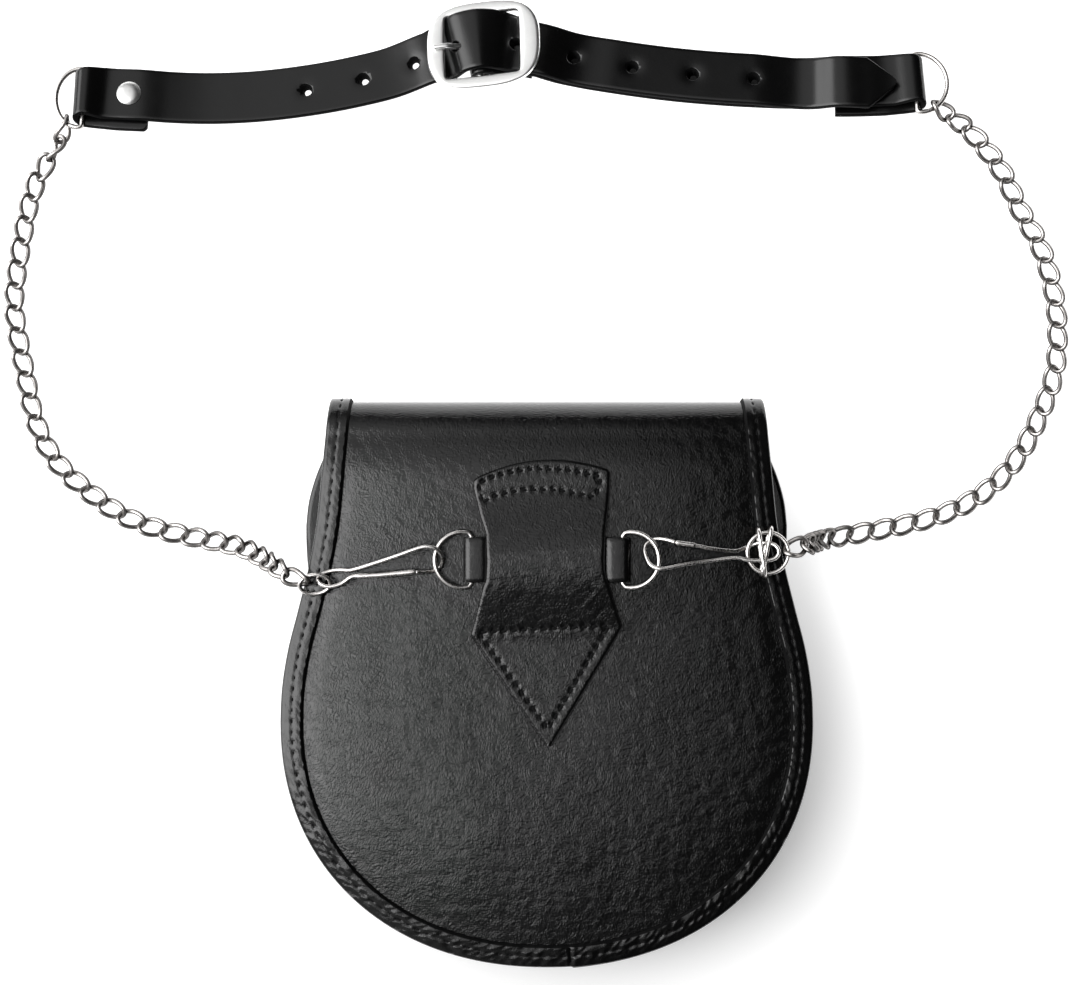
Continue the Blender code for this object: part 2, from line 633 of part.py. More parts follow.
def make_ring_strap():
    """A strap folded round the bars of both rings, its two layers pressed together between."""
    half = RING_STRAP_LENGTH / 2
    eye = RING_WIRE + GAP
    fold = RING_STRAP_LAYER + 0.1
    z = ring_strap_z()
    section = []
    for side in (1, -1):
        for step in range(5):
            angle = math.radians(-60 + 30 * step)
            section.append((side * (half - fold - eye + (fold + eye) * math.cos(angle)),
                            side * (fold + eye) * math.sin(angle) * 0.86))
        section.append((side * (half - 7.5), side * RING_STRAP_LAYER))
    rings = []
    for edge in (-0.5, 0.5):
        y = HANGER_CENTRE[1] + edge * RING_STRAP_WIDTH
        rings.append([pouch(x, y, z + height) for x, height in section])
    strap = loft("ring_strap", rings, False, strap_leather())
    for side, word in ((-1, "left"), (1, "right")):
        rings = []
        for edge in (-0.6, 0.6):
            y = HANGER_CENTRE[1] + edge * RING_STRAP_WIDTH
            rings.append([pouch(side * POUCH_RING_BAR_X + eye * math.cos(math.pi * k / 4), y,
                                z + eye * math.sin(math.pi * k / 4)) for k in range(8)])
        cutter = loft("ring_bar_bore_" + word, rings, False, None, helper=True)
        boolean(strap, cutter, "DIFFERENCE")
    return strap


def make_pouch_ring(side, word):
    """A D-shaped ring: a round arc closed by a straight bar, tipped up a little at its arc."""
    offset = POUCH_RING_CENTRE_X - POUCH_RING_BAR_X
    start = math.acos(-offset / POUCH_RING_RADIUS)
    tip = math.radians(7.0)
    z = ring_strap_z()
    points = []
    for step in range(12):
        angle = start - 2 * start * step / 11
        along = offset + POUCH_RING_RADIUS * math.cos(angle)
        x = POUCH_RING_BAR_X + along * math.cos(tip)
        y = HANGER_CENTRE[1] + POUCH_RING_RADIUS * math.sin(angle)
        points.append(pouch(side * x, y, z + along * math.sin(tip)))
    return wire("pouch_ring_" + word, points, RING_WIRE, nickel(), cyclic=True)


# ---------------------------------------------------------------- belt

def belt_point(x, across, height):
    """A place on the belt: along it, across it (towards +Y) and up from its under face."""
    y = smooth_table(BELT_LINE, x)
    turn = math.atan2(smooth_table(BELT_LINE, x + 1) - smooth_table(BELT_LINE, x - 1), 2)
    along = Vector((math.cos(turn), math.sin(turn), 0))
    over = Vector((-math.sin(turn) * math.cos(BELT_TILT), math.cos(turn) * math.cos(BELT_TILT),
                   -math.sin(BELT_TILT)))
    up = along.cross(over)
    rest = BELT_WIDTH / 2 * math.sin(BELT_TILT)
    return Vector((x, y, rest)) + over * across + up * height


def strap_solid(name, line, thickness, finish):
    """A strap along a line of (x, height, half_width, shift across) of its middle layer."""
    places = [Vector(row[:2]) for row in line]
    rings = []
    for number, (x, height, half, shift) in enumerate(line):
        before = places[max(number - 1, 0)]
        after = places[min(number + 1, len(places) - 1)]
        tangent = (after - before).normalized()
        normal = Vector((-tangent.y, tangent.x)) * thickness / 2
        rings.append([belt_point(x + side * normal.x, shift + edge * half,
                                 height + side * normal.y)
                      for side, edge in ((1, -1), (1, 1), (-1, 1), (-1, -1))])
    return loft(name, rings, False, finish)


def fold(bar_x, bar_height, radius, side, under_shift, steps=6):
    """Half a turn round a ring's bar, from under it to over it."""
    turn = []
    for step in range(steps + 1):
        angle = -math.pi / 2 + math.pi * step / steps
        turn.append((bar_x + side * radius * math.cos(angle),
                     bar_height + radius * math.sin(angle), FOLD_HALF_WIDTH,
                     under_shift * (1 - step / steps)))
    return turn


def make_billet_strap():
    """The pierced strap, from the left ring to its point on top of the buckle strap."""
    half = BELT_WIDTH / 2
    floor = BILLET / 2
    radius = BELT_RING_WIRE + GAP + BILLET / 2
    strap_top = BUCKLE_STRAP + GAP + BILLET / 2
    levels = {"floor": floor, "itself": floor + BILLET + GAP, "strap": strap_top,
              "bar": strap_top + BUCKLE_STRAP + 2 * (BUCKLE_BAR_RADIUS + BUCKLE_FOLD_GAP)}
    line = [(LEFT_TURN_END_X, floor, half, LEFT_UNDER_SHIFT),
            (LEFT_TURN_END_X - 11.0, floor, half, LEFT_UNDER_SHIFT),
            *fold(LEFT_BAR_X, floor + radius, radius, -1, LEFT_UNDER_SHIFT)]
    line += [(x, levels[level] + lift, half, 0.0) for x, level, lift in BILLET_ROUTE]
    line += [(x, strap_top + BUCKLE_STRAP + GAP + lift, half_width, share * BILLET_END_SHIFT)
             for x, lift, half_width, share in BILLET_END]
    strap = strap_solid("billet_strap", line, BILLET, strap_leather())
    for number, x in enumerate(HOLES_X):
        cutter = hole_cutter("billet_hole_%d" % (number + 1), x, HOLE_RADIUS, -1.0, 14.0)
        boolean(strap, cutter, "DIFFERENCE")
    rivet_bore = hole_cutter("rivet_bore_left", RIVET_LEFT_X, RIVET_SHANK + GAP, -2.0, 9.0)
    boolean(strap, rivet_bore, "DIFFERENCE")
    prong_bore = prong_wire("prong_bore", HOLE_RADIUS, helper=True)
    boolean(strap, prong_bore, "DIFFERENCE")
    return strap


def hole_cutter(name, x, radius, low, high, sides=8):
    rings = []
    for height in (low, high):
        rings.append([belt_point(x, 0, height)
                      + (belt_point(x + 1, 0, 0) - belt_point(x, 0, 0)).normalized()
                      * radius * math.cos(2 * math.pi * k / sides)
                      + (belt_point(x, 1, 0) - belt_point(x, 0, 0)).normalized()
                      * radius * math.sin(2 * math.pi * k / sides) for k in range(sides)])
    return loft(name, rings, False, None, helper=True)


def make_buckle_strap():
    """The plain strap, turned under round the buckle's bar and round the right ring's bar."""
    half = BELT_WIDTH / 2
    floor = BUCKLE_STRAP / 2
    at_buckle = BUCKLE_BAR_RADIUS + BUCKLE_FOLD_GAP + BUCKLE_STRAP / 2
    at_ring = BELT_RING_WIRE + GAP + BUCKLE_STRAP / 2
    levels = {"floor": floor, "itself": floor + BUCKLE_STRAP + GAP,
              "bar": floor + 2 * at_buckle}
    line = [(x, floor, half, 0.0) for x in (0.2, -10.0, -16.0)]
    line += fold(BUCKLE_BAR_X, floor + at_buckle, at_buckle, -1, 0.0, 8)
    line += [(x, levels[level] + lift, half, 0.0) for x, level, lift in BUCKLE_STRAP_ROUTE]
    line += reversed(fold(RIGHT_BAR_X, floor + at_ring, at_ring, 1, RIGHT_UNDER_SHIFT))
    line += [(x, floor, half, RIGHT_UNDER_SHIFT) for x in (121.0, RIGHT_TURN_END_X)]
    strap = strap_solid("buckle_strap", line, BUCKLE_STRAP, strap_leather())
    slot_box = ((-8.6, -1.0), (4.4, -1.0), (4.4, 9.0), (-8.6, 9.0))
    slot = loft("prong_slot", [[buckle_place(x, across, height) for x, height in slot_box]
                               for across in (-1.7, 1.7)], False, None, helper=True)
    boolean(strap, slot, "DIFFERENCE")
    bore = hole_cutter("rivet_bore_right", RIVET_RIGHT_X, RIVET_SHANK + GAP, -2.0, 5.5)
    boolean(strap, bore, "DIFFERENCE")
    return strap


def make_belt_ring(word, bar_x, end_x, bar_height, shift):
    """A D-ring whose bar lies in a strap's fold."""
    side = math.copysign(1.0, end_x - bar_x)
    reach = abs(end_x - bar_x) - BELT_RING_CORNER
    bar_end = BELT_RING_HEIGHT - BELT_RING_CORNER
    places = [(0.0, bar_end)]
    for step in range(11):
        angle = math.pi / 2 - math.pi * step / 10
        places.append((BELT_RING_CORNER + reach * math.cos(angle),
                       BELT_RING_HEIGHT * math.sin(angle)))
    places.append((0.0, -bar_end))
    points = [belt_point(bar_x + side * x, shift + across, bar_height) for x, across in places]
    return wire("belt_ring_" + word, points, BELT_RING_WIRE, nickel(), cyclic=True)


def make_rivet(word, x, top, head_radius, head):
    """A turned rivet: a low round head, its shank and the small tail disc below."""
    profile = [(0.0, top + head), (head_radius - 0.6, top + head * 0.8),
               (head_radius, top + GAP),
               (RIVET_SHANK, top + GAP), (RIVET_SHANK, -GAP), (2.9, -GAP), (2.9, -0.8),
               (0.0, -0.8)]
    mesh = bpy.data.meshes.new("rivet_" + word)
    mesh.from_pydata([(r * MM, 0.0, z * MM) for r, z in profile], [],
                     [(i, i + 1) for i in range(len(profile) - 1)])
    rivet = add_object("rivet_" + word, mesh, polished_nickel())
    turned = rivet.modifiers.new("turned", "SCREW")
    turned.steps = turned.render_steps = 10
    turned.use_normal_flip = True
    turned.use_merge_vertices = True
    turned.merge_threshold = 0.00001
    along = (belt_point(x + 1, 0, 0) - belt_point(x, 0, 0)).normalized()
    over = (belt_point(x, 1, 0) - belt_point(x, 0, 0)).normalized()
    axes = Matrix((along, over, along.cross(over))).transposed().to_4x4()
    rivet.matrix_world = Matrix.Translation(to_model(belt_point(x, 0, 0))) @ axes
    return rivet


def buckle_height(x):
    """Height of the buckle's under face along the belt."""
    share = (x - BUCKLE_X) / BUCKLE_SIZE[0] + 0.5
    low, high = BUCKLE_HEIGHT
    return low + (high - low) * share


def rounded_place(angle, half_length, half_width, power):
    c, s = math.cos(angle), math.sin(angle)
    reach = (abs(c / half_length) ** power + abs(s / half_width) ** power) ** (-1 / power)
    return reach * c, reach * s


def buckle_place(x, across, height):
    """A place on the buckle, which sits a little turned on the belt."""
    along = x * math.cos(BUCKLE_TURN) - across * math.sin(BUCKLE_TURN)
    over = x * math.sin(BUCKLE_TURN) + across * math.cos(BUCKLE_TURN)
    base = belt_point(BUCKLE_X, 0, 0)
    right = (belt_point(BUCKLE_X + 1, 0, 0) - base).normalized()
    up = (belt_point(BUCKLE_X, 0, 1) - base).normalized()
    return base + right * along + up.cross(right) * over + up * height


def make_buckle():
    """The frame, a bulged oval with a square window, and its middle bar."""
    half_length, half_width = BUCKLE_SIZE[0] / 2, BUCKLE_SIZE[1] / 2
    window_length, window_width = BUCKLE_WINDOW[0] / 2, BUCKLE_WINDOW[1] / 2
    rings = []
    for step in range(24):
        angle = 2 * math.pi * (step + 0.5) / 24
        inner_angle = math.atan2(math.sin(angle) * half_width * window_width / half_width,
                                 math.cos(angle) * window_length)
        outer = rounded_place(angle, half_length, half_width, 2.9)
        inner = rounded_place(inner_angle, window_length, window_width, 14)
        inner = (inner[0] + BUCKLE_WINDOW_SHIFT, inner[1])
        ring = []
        for share, height in ((1.0, 0.4), (0.86, 0.0), (0.0, 0.0), (0.0, 1.6),
                              (0.2, BUCKLE_THICK), (0.7, BUCKLE_THICK), (1.0, 1.3)):
            x = inner[0] + (outer[0] - inner[0]) * share
            across = inner[1] + (outer[1] - inner[1]) * share
            ring.append(buckle_place(x, across, buckle_height(BUCKLE_X + x) + height))
        rings.append(ring)
    frame = loft("buckle_frame", rings, True, polished_nickel())
    bar_height = BUCKLE_STRAP + BUCKLE_FOLD_GAP + BUCKLE_BAR_RADIUS
    bar_line = [(-13.0, 7.4), (-11.6, 6.4), (-10.9, bar_height), (10.9, bar_height), (11.6, 6.4),
                (13.0, 7.4)]
    bar_points = [belt_point(BUCKLE_BAR_X, across, height) for across, height in bar_line]
    name, bar_mesh = as_mesh(wire("buckle_bar", bar_points, BUCKLE_BAR_RADIUS,
                                  polished_nickel()))
    boolean(frame, add_object(name, bar_mesh, None, helper=True), "UNION")
    return frame


def prong_wire(name, radius, helper=False):
    """The prong: hooked round the buckle's bar, up through the strap, and onto the frame."""
    bar_height = BUCKLE_STRAP + BUCKLE_FOLD_GAP + BUCKLE_BAR_RADIUS
    hook = BUCKLE_BAR_RADIUS + GAP + PRONG_RADIUS
    line = []
    if not helper:
        for degrees in (-100, -65, -30, 0, 30, 60):
            angle = math.radians(degrees)
            line.append((BUCKLE_BAR_X + hook * math.cos(angle),
                         bar_height + hook * math.sin(angle)))
    line += [(BUCKLE_BAR_X, bar_height + hook), (BUCKLE_BAR_X - 3.5, bar_height + hook + 0.5),
             (-28.5, 8.4), (-32.5, 9.5), (-36.8, 9.5)]
    made = wire(name, [buckle_place(x - BUCKLE_X, 0.2, height) for x, height in line], radius,
                polished_nickel())
    if helper:
        name, mesh = as_mesh(made)
        made = add_object(name, mesh, None, helper=True)
    return made


# ---------------------------------------------------------------- clips, rings and chains

def wire_loop(name, centre, along, side, half_length, half_width, steps=12, straight=False):
    """A ring of wire in the plane of two directions: an oval, or one with straight sides."""
    along, side = Vector(along).normalized(), Vector(side).normalized()
    points = []
    for step in range(steps):
        angle = 2 * math.pi * (step + 0.5) / steps
        if straight:
            reach = math.copysign(half_length - half_width, math.cos(angle))
            reach += half_width * math.cos(angle)
        else:
            reach = half_length * math.cos(angle)
        points.append(Vector(centre) + along * reach + side * half_width * math.sin(angle))
    return wire(name, points, CLIP_WIRE, nickel(), cyclic=True)


def make_clip(word, table):
    return wire("clip_" + word, [row[:3] for row in table], CLIP_WIRE, nickel(),
                thick=[row[3] for row in table])


def rolled_height(roll):
    """Half the height that a link takes when it is rolled about the chain's direction."""
    return ((LINK_HALF_WIDTH + LINK_WIRE) * abs(math.sin(roll))
            + (LINK_TWIST + LINK_WIRE) * abs(math.cos(roll)))


def walk(route, rolls, pitch):
    """Equal steps along a route from its start, with the roll at each of them."""
    joints = [(route[0], rolls[0].x)]
    for start, end, roll in zip(route, route[1:], rolls):
        while (end - joints[-1][0]).length >= pitch:
            low, high = 0.0, 1.0
            for _ in range(24):
                middle = (low + high) / 2
                place = start.lerp(end, middle)
                if (place - joints[-1][0]).length < pitch:
                    low = middle
                else:
                    high = middle
            joints.append((start.lerp(end, high), roll.x))
            start = joints[-1][0]
    return joints


def chain_joints(table):
    """Where link meets link, from the table's first place to its last one."""
    route = smooth_route([(x, y, low + rolled_height(math.radians(roll)))
                          for x, y, low, roll in table])
    rolls = smooth_route([(row[3], 0, 0) for row in table])
    low, high = link_pitch(), 1.1 * link_pitch()
    count = len(walk(route, rolls, low))
    for _ in range(24):
        pitch = (low + high) / 2
        if len(walk(route, rolls, pitch)) >= count:
            low = pitch
        else:
            high = pitch
    return walk(route, rolls, low)[:count]


def link_station(number):
    """A place on a link's middle line, in the link's own axes, and the way in from there."""
    angle = 2 * math.pi * (number + 0.5) / LINK_SEGMENTS
    place = Vector((LINK_HALF_LENGTH * math.cos(angle), LINK_HALF_WIDTH * math.sin(angle),
                    LINK_TWIST * math.sin(2 * angle)))
    inward = Vector((-math.cos(angle) * LINK_HALF_WIDTH, -math.sin(angle) * LINK_HALF_LENGTH, 0))
    return place, inward.normalized()


def link_pitch():
    """From joint to joint: the inner length of a link, and the bite of its neighbours."""
    straight = link_rings(Vector((-1, 0, 0)), Vector((1, 0, 0)), Vector((0, 0, 1)))
    return 2 * straight[0][0].x + LINK_BITE


def link_rings(start, end, up):
    """The rings of wire of one link that joins two joints of the chain."""
    along = (end - start).normalized()
    side = up.cross(along).normalized()
    up = along.cross(side)
    axes = Matrix((along, side, up)).transposed()
    middle = (start + end) / 2
    stations = [link_station(number) for number in range(LINK_SEGMENTS)]
    rings = []
    for number, (place, inward) in enumerate(stations):
        after = stations[(number + 1) % LINK_SEGMENTS][0]
        tangent = (after - stations[number - 1][0]).normalized()
        inward = (inward - tangent * inward.dot(tangent)).normalized()
        across = tangent.cross(inward)
        ring = []
        for k in range(WIRE_SIDES):
            angle = 2 * math.pi * k / WIRE_SIDES
            offset = inward * math.cos(angle) + across * math.sin(angle)
            ring.append(middle + axes @ (place + offset * LINK_WIRE))
        rings.append(ring)
    return rings


def make_chain(word, table):
    """A whole chain as one body: every second link joined to the links between them."""
    joints = chain_joints(table)
    up = Vector((0, 0, 1))
    points = ([], [])
    for number, ((start, roll), (end, next_roll)) in enumerate(zip(joints, joints[1:])):
        along = (end - start).normalized()
        if abs(along.z) < 0.85:
            up = Vector((0, 0, 1))
        up = (up - along * up.dot(along)).normalized()
        turn = Matrix.Rotation(math.radians((roll + next_roll) / 2), 3, along)
        rings = link_rings(start, end, turn @ up)
        points[number % 2].append(rings)
    halves = []
    for links, name in zip(points, ("chain_" + word, "odd_links_" + word)):
        corners, faces = [], []
        for rings in links:
            base = len(corners)
            corners += [corner for ring in rings for corner in ring]
            for i in range(LINK_SEGMENTS):
                near = base + i * WIRE_SIDES
                far = base + (i + 1) % LINK_SEGMENTS * WIRE_SIDES
                for k in range(WIRE_SIDES):
                    after = (k + 1) % WIRE_SIDES
                    faces.append((near + k, near + after, far + after, far + k))
        mesh = mesh_from(name, corners, faces)
        halves.append(add_object(name, mesh, nickel(), helper=bool(halves)))
    boolean(halves[0], halves[1], "UNION")
    return halves[0]


def main():
    for old in list(bpy.data.objects):
        bpy.data.objects.remove(old)
    rows = cover_rows()
    make_cover(rows)
    make_binding(rows)
    make_gusset()
    make_front_panel()
    make_flap_snap()
    make_hanger_patch()
    make_ring_strap()
    make_pouch_ring(-1, "left")
    make_pouch_ring(1, "right")
    make_clip("left", CLIP_LEFT)
    make_clip("right", CLIP_RIGHT)
    wire_loop("jump_ring_left", (-74.5, -30.9, 35.4), (1.0, 0.1, 0.0), (-0.1, 0.95, 0.32),
              5.2, 3.4)
    wire_loop("jump_ring_right", (77.7, -20.3, 36.75), (1.0, 0.0, 0.0), (0.0, 1.0, 0.0),
              7.6, 7.6, steps=16)
    for word, place in (("near", (75.3, -18.45, 37.0)), ("far", (79.0, -18.0, 37.0))):
        wire_loop("oval_ring_" + word, place, (0.0, 1.0, 0.0), (0.0, 0.0, 1.0), 7.15, 3.4,
                  straight=True)
    make_billet_strap()
    make_buckle_strap()
    bar_left = BILLET / 2 + BELT_RING_WIRE + GAP + BILLET / 2
    bar_right = BUCKLE_STRAP / 2 + BELT_RING_WIRE + GAP + BUCKLE_STRAP / 2
    make_belt_ring("left", LEFT_BAR_X, LEFT_RING_END_X, bar_left, LEFT_RING_SHIFT)
    make_belt_ring("right", RIGHT_BAR_X, RIGHT_RING_END_X, bar_right, RIGHT_RING_SHIFT)
    make_rivet("left", RIVET_LEFT_X, 2 * BILLET + GAP, 4.2, 1.3)
    make_rivet("right", RIVET_RIGHT_X, 2 * BUCKLE_STRAP + GAP, 3.6, 0.9)
    make_buckle()
    prong_wire("buckle_prong", PRONG_RADIUS)
    make_chain("left", CHAIN_LEFT)
    make_chain("right", CHAIN_RIGHT)


main()
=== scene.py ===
"""Looks of the sporran pouch and its clipped-on belt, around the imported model.

All sizes below are millimetres and MM turns them into metres. The tables use the layout's own X
(across the pouch) and Y (from the pouch to the buckle); LAYOUT_CENTRE moves the middle of the
layout to the origin. The pouch is drawn from its axis and its widest line, the belt along its
own curve (belt_points). Each fine piece replaces the node that it is named after.
"""

import math

import bmesh
import bpy
import numpy as np
from mathutils import Matrix, Vector
from mathutils.geometry import interpolate_bezier


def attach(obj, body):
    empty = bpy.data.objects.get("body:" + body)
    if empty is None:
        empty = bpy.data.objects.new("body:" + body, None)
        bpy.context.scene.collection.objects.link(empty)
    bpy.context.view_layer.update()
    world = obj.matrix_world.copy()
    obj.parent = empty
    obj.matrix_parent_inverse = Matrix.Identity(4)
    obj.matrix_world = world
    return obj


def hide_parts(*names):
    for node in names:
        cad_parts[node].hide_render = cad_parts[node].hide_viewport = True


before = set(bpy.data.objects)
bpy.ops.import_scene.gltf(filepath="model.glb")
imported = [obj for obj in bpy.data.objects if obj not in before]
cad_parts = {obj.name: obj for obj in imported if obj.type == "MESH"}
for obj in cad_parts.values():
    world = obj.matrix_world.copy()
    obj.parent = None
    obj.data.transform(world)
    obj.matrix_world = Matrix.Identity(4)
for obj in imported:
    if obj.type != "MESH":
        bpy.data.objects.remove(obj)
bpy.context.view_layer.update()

MM = 0.001
GAP = 0.3                       # clearance between pieces that touch
LAYOUT_CENTRE = (-0.126, 5.481)

# The camera looks straight down on the layout's own origin
CAMERA_HEIGHT = 900.0
VIEW_WIDTH = 375.55             # what it sees of the floor
SENSOR = 36.0

# Pouch: x from its axis, y from its widest line
POUCH_AXIS_X = 3.5
POUCH_WIDEST_Y = -77.5
LEATHER = 2.0
BACK_EDGE_Z = 31.0
BACK_CROWN = 4.0                # of its middle over the edge
BACK_DOME = 2.7                 # how late the crown falls to the panel's edge
BACK_END = (88.9, 81.8, 2.15)   # (half_width, drop, roundness) of its rounded end
BACK_TOP_Y = 108.6
BACK_SIDE = (                   # (y, half_width)
    (0.0, 88.9), (8.7, 88.6), (24.9, 86.2), (36.6, 83.2), (54.8, 78.8),
    (64.9, 77.0), (81.7, 75.2), (108.6, 73.0))
ROLL_START_Y = 91.6
ROLL_REACH = 17.0
ROLL_SETTLE = (                 # (y, how far the leather has sunk before and on the roll)
    (0.0, 0.0), (80.0, 0.0), (84.0, 0.09), (86.5, 0.27), (89.0, 0.62), (91.6, 1.18),
    (94.0, 1.56), (96.5, 1.82), (98.0, 1.56), (100.0, 1.04), (103.0, 0.72), (105.6, 0.46),
    (108.6, 0.0))
FLAP_END = (82.6, 92.0, 2.2)
FLAP_WIDEST_Y = 66.0
FLAP_SIDE = (                   # (y, half_width)
    (66.0, 82.6), (74.0, 81.7), (82.0, 79.5), (91.6, 75.6))
FLAP_RIM_Z = 1.4
LAST_SHARE = 0.95               # of a rounded end's quarter, where its rows stop
BINDING = 1.0                   # its thickness, and how far it reaches over and under
BINDING_COVER = 6.6
BINDING_TUCK = 4.6
JOINT_X = 8.3                   # where its ends meet, at a corner of the leather's grid
GUSSET = 1.5
GUSSET_TOP_Y = 88.0
FRONT_INSET = 7.2
FRONT_SCALE = tuple(1 - FRONT_INSET / reach for reach in BACK_END[:2])
FRONT_Z = 5.2
FRONT_LIFT = 3.0
FRONT_TOP_Y = 87.0
SNAP_RADIUS = 8.0
SNAP_Y = 22.0

# Hanger patch and the strap with the two rings
HANGER_CENTRE = (-0.5, 54.9)
HANGER_TURN = math.radians(2.5)
HANGER_LEATHER = 1.6
HANGER_LEFT = (                 # (v along the patch, u across it) of its left edge
    (28.9, -22.7), (25.6, -22.9), (16.0, -21.1), (11.4, -19.8), (9.6, -19.4), (0.0, -19.4),
    (-6.0, -20.0), (-8.6, -21.2), (-20.4, -24.7), (-24.4, -26.0), (-62.4, -2.5))
HANGER_RIGHT = (
    (28.9, 23.0), (19.3, 22.1), (9.5, 20.4), (0.0, 19.5), (-3.8, 19.4), (-7.0, 19.8),
    (-9.8, 20.9), (-23.9, 24.6), (-62.4, -0.9))
HANGER_TOP_BOW = 4.4
HANGER_CORNER = 1.4
HANGER_TOP_STITCHES = (         # (u, v) round the box at its top
    (-21.2, 26.6), (-14.6, 28.9), (-4.3, 30.5), (2.7, 30.3), (9.6, 29.6), (20.1, 27.0),
    (18.0, 20.4), (11.3, 21.9), (5.4, 23.1), (-2.6, 23.7), (-9.2, 23.4), (-15.2, 22.3),
    (-20.3, 20.2), (-21.2, 26.6))
HANGER_TIP_STITCHES = (         # (u, v) round the triangle at its tip
    (-23.4, -23.4), (20.6, -23.0), (-1.5, -57.0), (-23.4, -23.4))
RING_STRAP_WIDTH = 15.2
RING_STRAP_LAYER = 1.5
RING_WIRE = 0.75
POUCH_RING_RADIUS = 9.3
POUCH_RING_BAR_X = 25.4
POUCH_RING_CENTRE_X = 28.4
POUCH_RING_TIP = math.radians(7.0)

# Belt: x and y of its middle line, tilted on its upper edge
BELT_WIDTH = 18.6
BELT_TILT = math.radians(12.0)
BELT_LINE = (                   # (x, y)
    (-175.0, 138.8), (-158.0, 138.4), (-140.0, 137.5), (-122.0, 137.0), (-107.0, 137.3),
    (-86.0, 139.1), (-65.0, 142.6), (-51.0, 146.0), (-37.0, 150.6), (-18.5, 154.6),
    (-4.0, 153.6), (4.7, 151.8), (18.7, 149.2), (32.7, 147.0), (46.6, 145.2), (67.5, 143.4),
    (88.5, 142.5), (109.5, 142.2), (130.0, 143.0), (150.0, 144.4))
BILLET = 2.4
BUCKLE_STRAP = 2.2
BILLET_ROUTE = (                # (x, what it lies on, lift over that)
    (-150.5, "itself", 0.0), (-137.5, "itself", 0.0), (-128.0, "floor", 1.5),
    (-117.0, "floor", 0.5), (-103.0, "floor", 0.0), (-80.0, "floor", 0.0),
    (-62.0, "floor", 0.0), (-50.0, "floor", 0.1), (-43.5, "floor", 0.9), (-37.0, "floor", 2.1),
    (-31.2, "floor", 2.6), (-28.4, "floor", 5.2), (-26.2, "floor", 7.3),
    (-23.2, "bar", -0.2), (-20.6, "bar", 0.2), (-17.5, "bar", -0.2), (-13.5, "strap", 4.6),
    (-9.5, "strap", 2.7), (-2.0, "strap", 2.55), (4.0, "strap", 2.3), (11.0, "strap", 0.3),
    (28.0, "strap", 0.0), (50.0, "strap", 0.0), (75.0, "strap", 0.0))
BILLET_END = (                  # (x, lift over the turned strap, half_width, share of the shift)
    (97.0, -2.5, 9.3, 0.45), (104.0, 1.0, 9.3, 0.7), (114.6, 1.0, 9.3, 1.0),
    (123.4, 0.4, 2.4, 1.0), (124.6, 0.4, 0.8, 1.0))
BUCKLE_STRAP_ROUTE = (          # (x, what it lies on, lift over that)
    (-18.0, "bar", -0.15), (-14.5, "floor", 4.1), (-9.5, "itself", 0.0), (1.0, "itself", 0.0),
    (8.0, "floor", 0.7), (15.0, "floor", 0.1), (28.0, "floor", 0.0), (50.0, "floor", 0.0),
    (75.0, "floor", 0.0), (88.0, "floor", 0.0), (97.0, "floor", 1.0), (103.5, "itself", 0.0),
    (124.0, "itself", 0.1))
BELT_RING_HEIGHT = 10.8
BELT_RING_CORNER = 1.2
BELT_RING_WIRE = 0.8
LEFT_BAR_X = -157.4
LEFT_RING_END_X = -167.1
LEFT_RING_SHIFT = -2.0
LEFT_UNDER_SHIFT = -3.0
RIGHT_BAR_X = 131.6
RIGHT_RING_END_X = 142.8
RIGHT_RING_SHIFT = -1.4
RIGHT_UNDER_SHIFT = -2.6
FOLD_HALF_WIDTH = 8.6
LEFT_TURN_END_X = -135.0
RIGHT_TURN_END_X = 104.0
BILLET_END_SHIFT = -1.9
HOLE_RADIUS = 1.9
HOLES_X = (-80.3, -60.4, -42.7, -7.2, 12.8, 33.1, 54.1, 75.4)
RIVET_LEFT_X = -141.6
RIVET_RIGHT_X = 110.0

# Buckle, in the belt's own (along, across, height)
BUCKLE_X = -18.4
BUCKLE_SIZE = (39.4, 31.4)
BUCKLE_WINDOW = (26.0, 22.9)
BUCKLE_WINDOW_SHIFT = -0.5
BUCKLE_TURN = math.radians(2.4)
BUCKLE_SKEW = 0.07              # along, for each millimetre across
BUCKLE_DROP = 1.4
BUCKLE_HEIGHT = (5.5, 8.7)
BUCKLE_BAR_X = -20.6
BUCKLE_BAR_RADIUS = 1.3
BUCKLE_FOLD_GAP = 0.6
BAR_HEIGHT = BUCKLE_STRAP + BUCKLE_FOLD_GAP + BUCKLE_BAR_RADIUS
PRONG_RADIUS = 0.95
RIVET_SHANK = 1.5
CLIP_WIRE = 0.72

# Chain
LINK_HALF_LENGTH = 4.60
LINK_HALF_WIDTH = 3.05
LINK_WIRE = 0.64
LINK_TWIST = 1.05
LINK_FINE_WIRE = 0.82
# (segments, half_width, twist, skew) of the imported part's links, which set the pitch, and of these
PACKED_LINK = (10, LINK_HALF_WIDTH, LINK_TWIST, 0.0)
FINE_LINK = (32, 2.95, 1.16, math.radians(16.0))
LINK_LIFT = 0.31                # of the thicker wire off the floor
LINK_BITE = 0.10
LINK_SIDES = 10

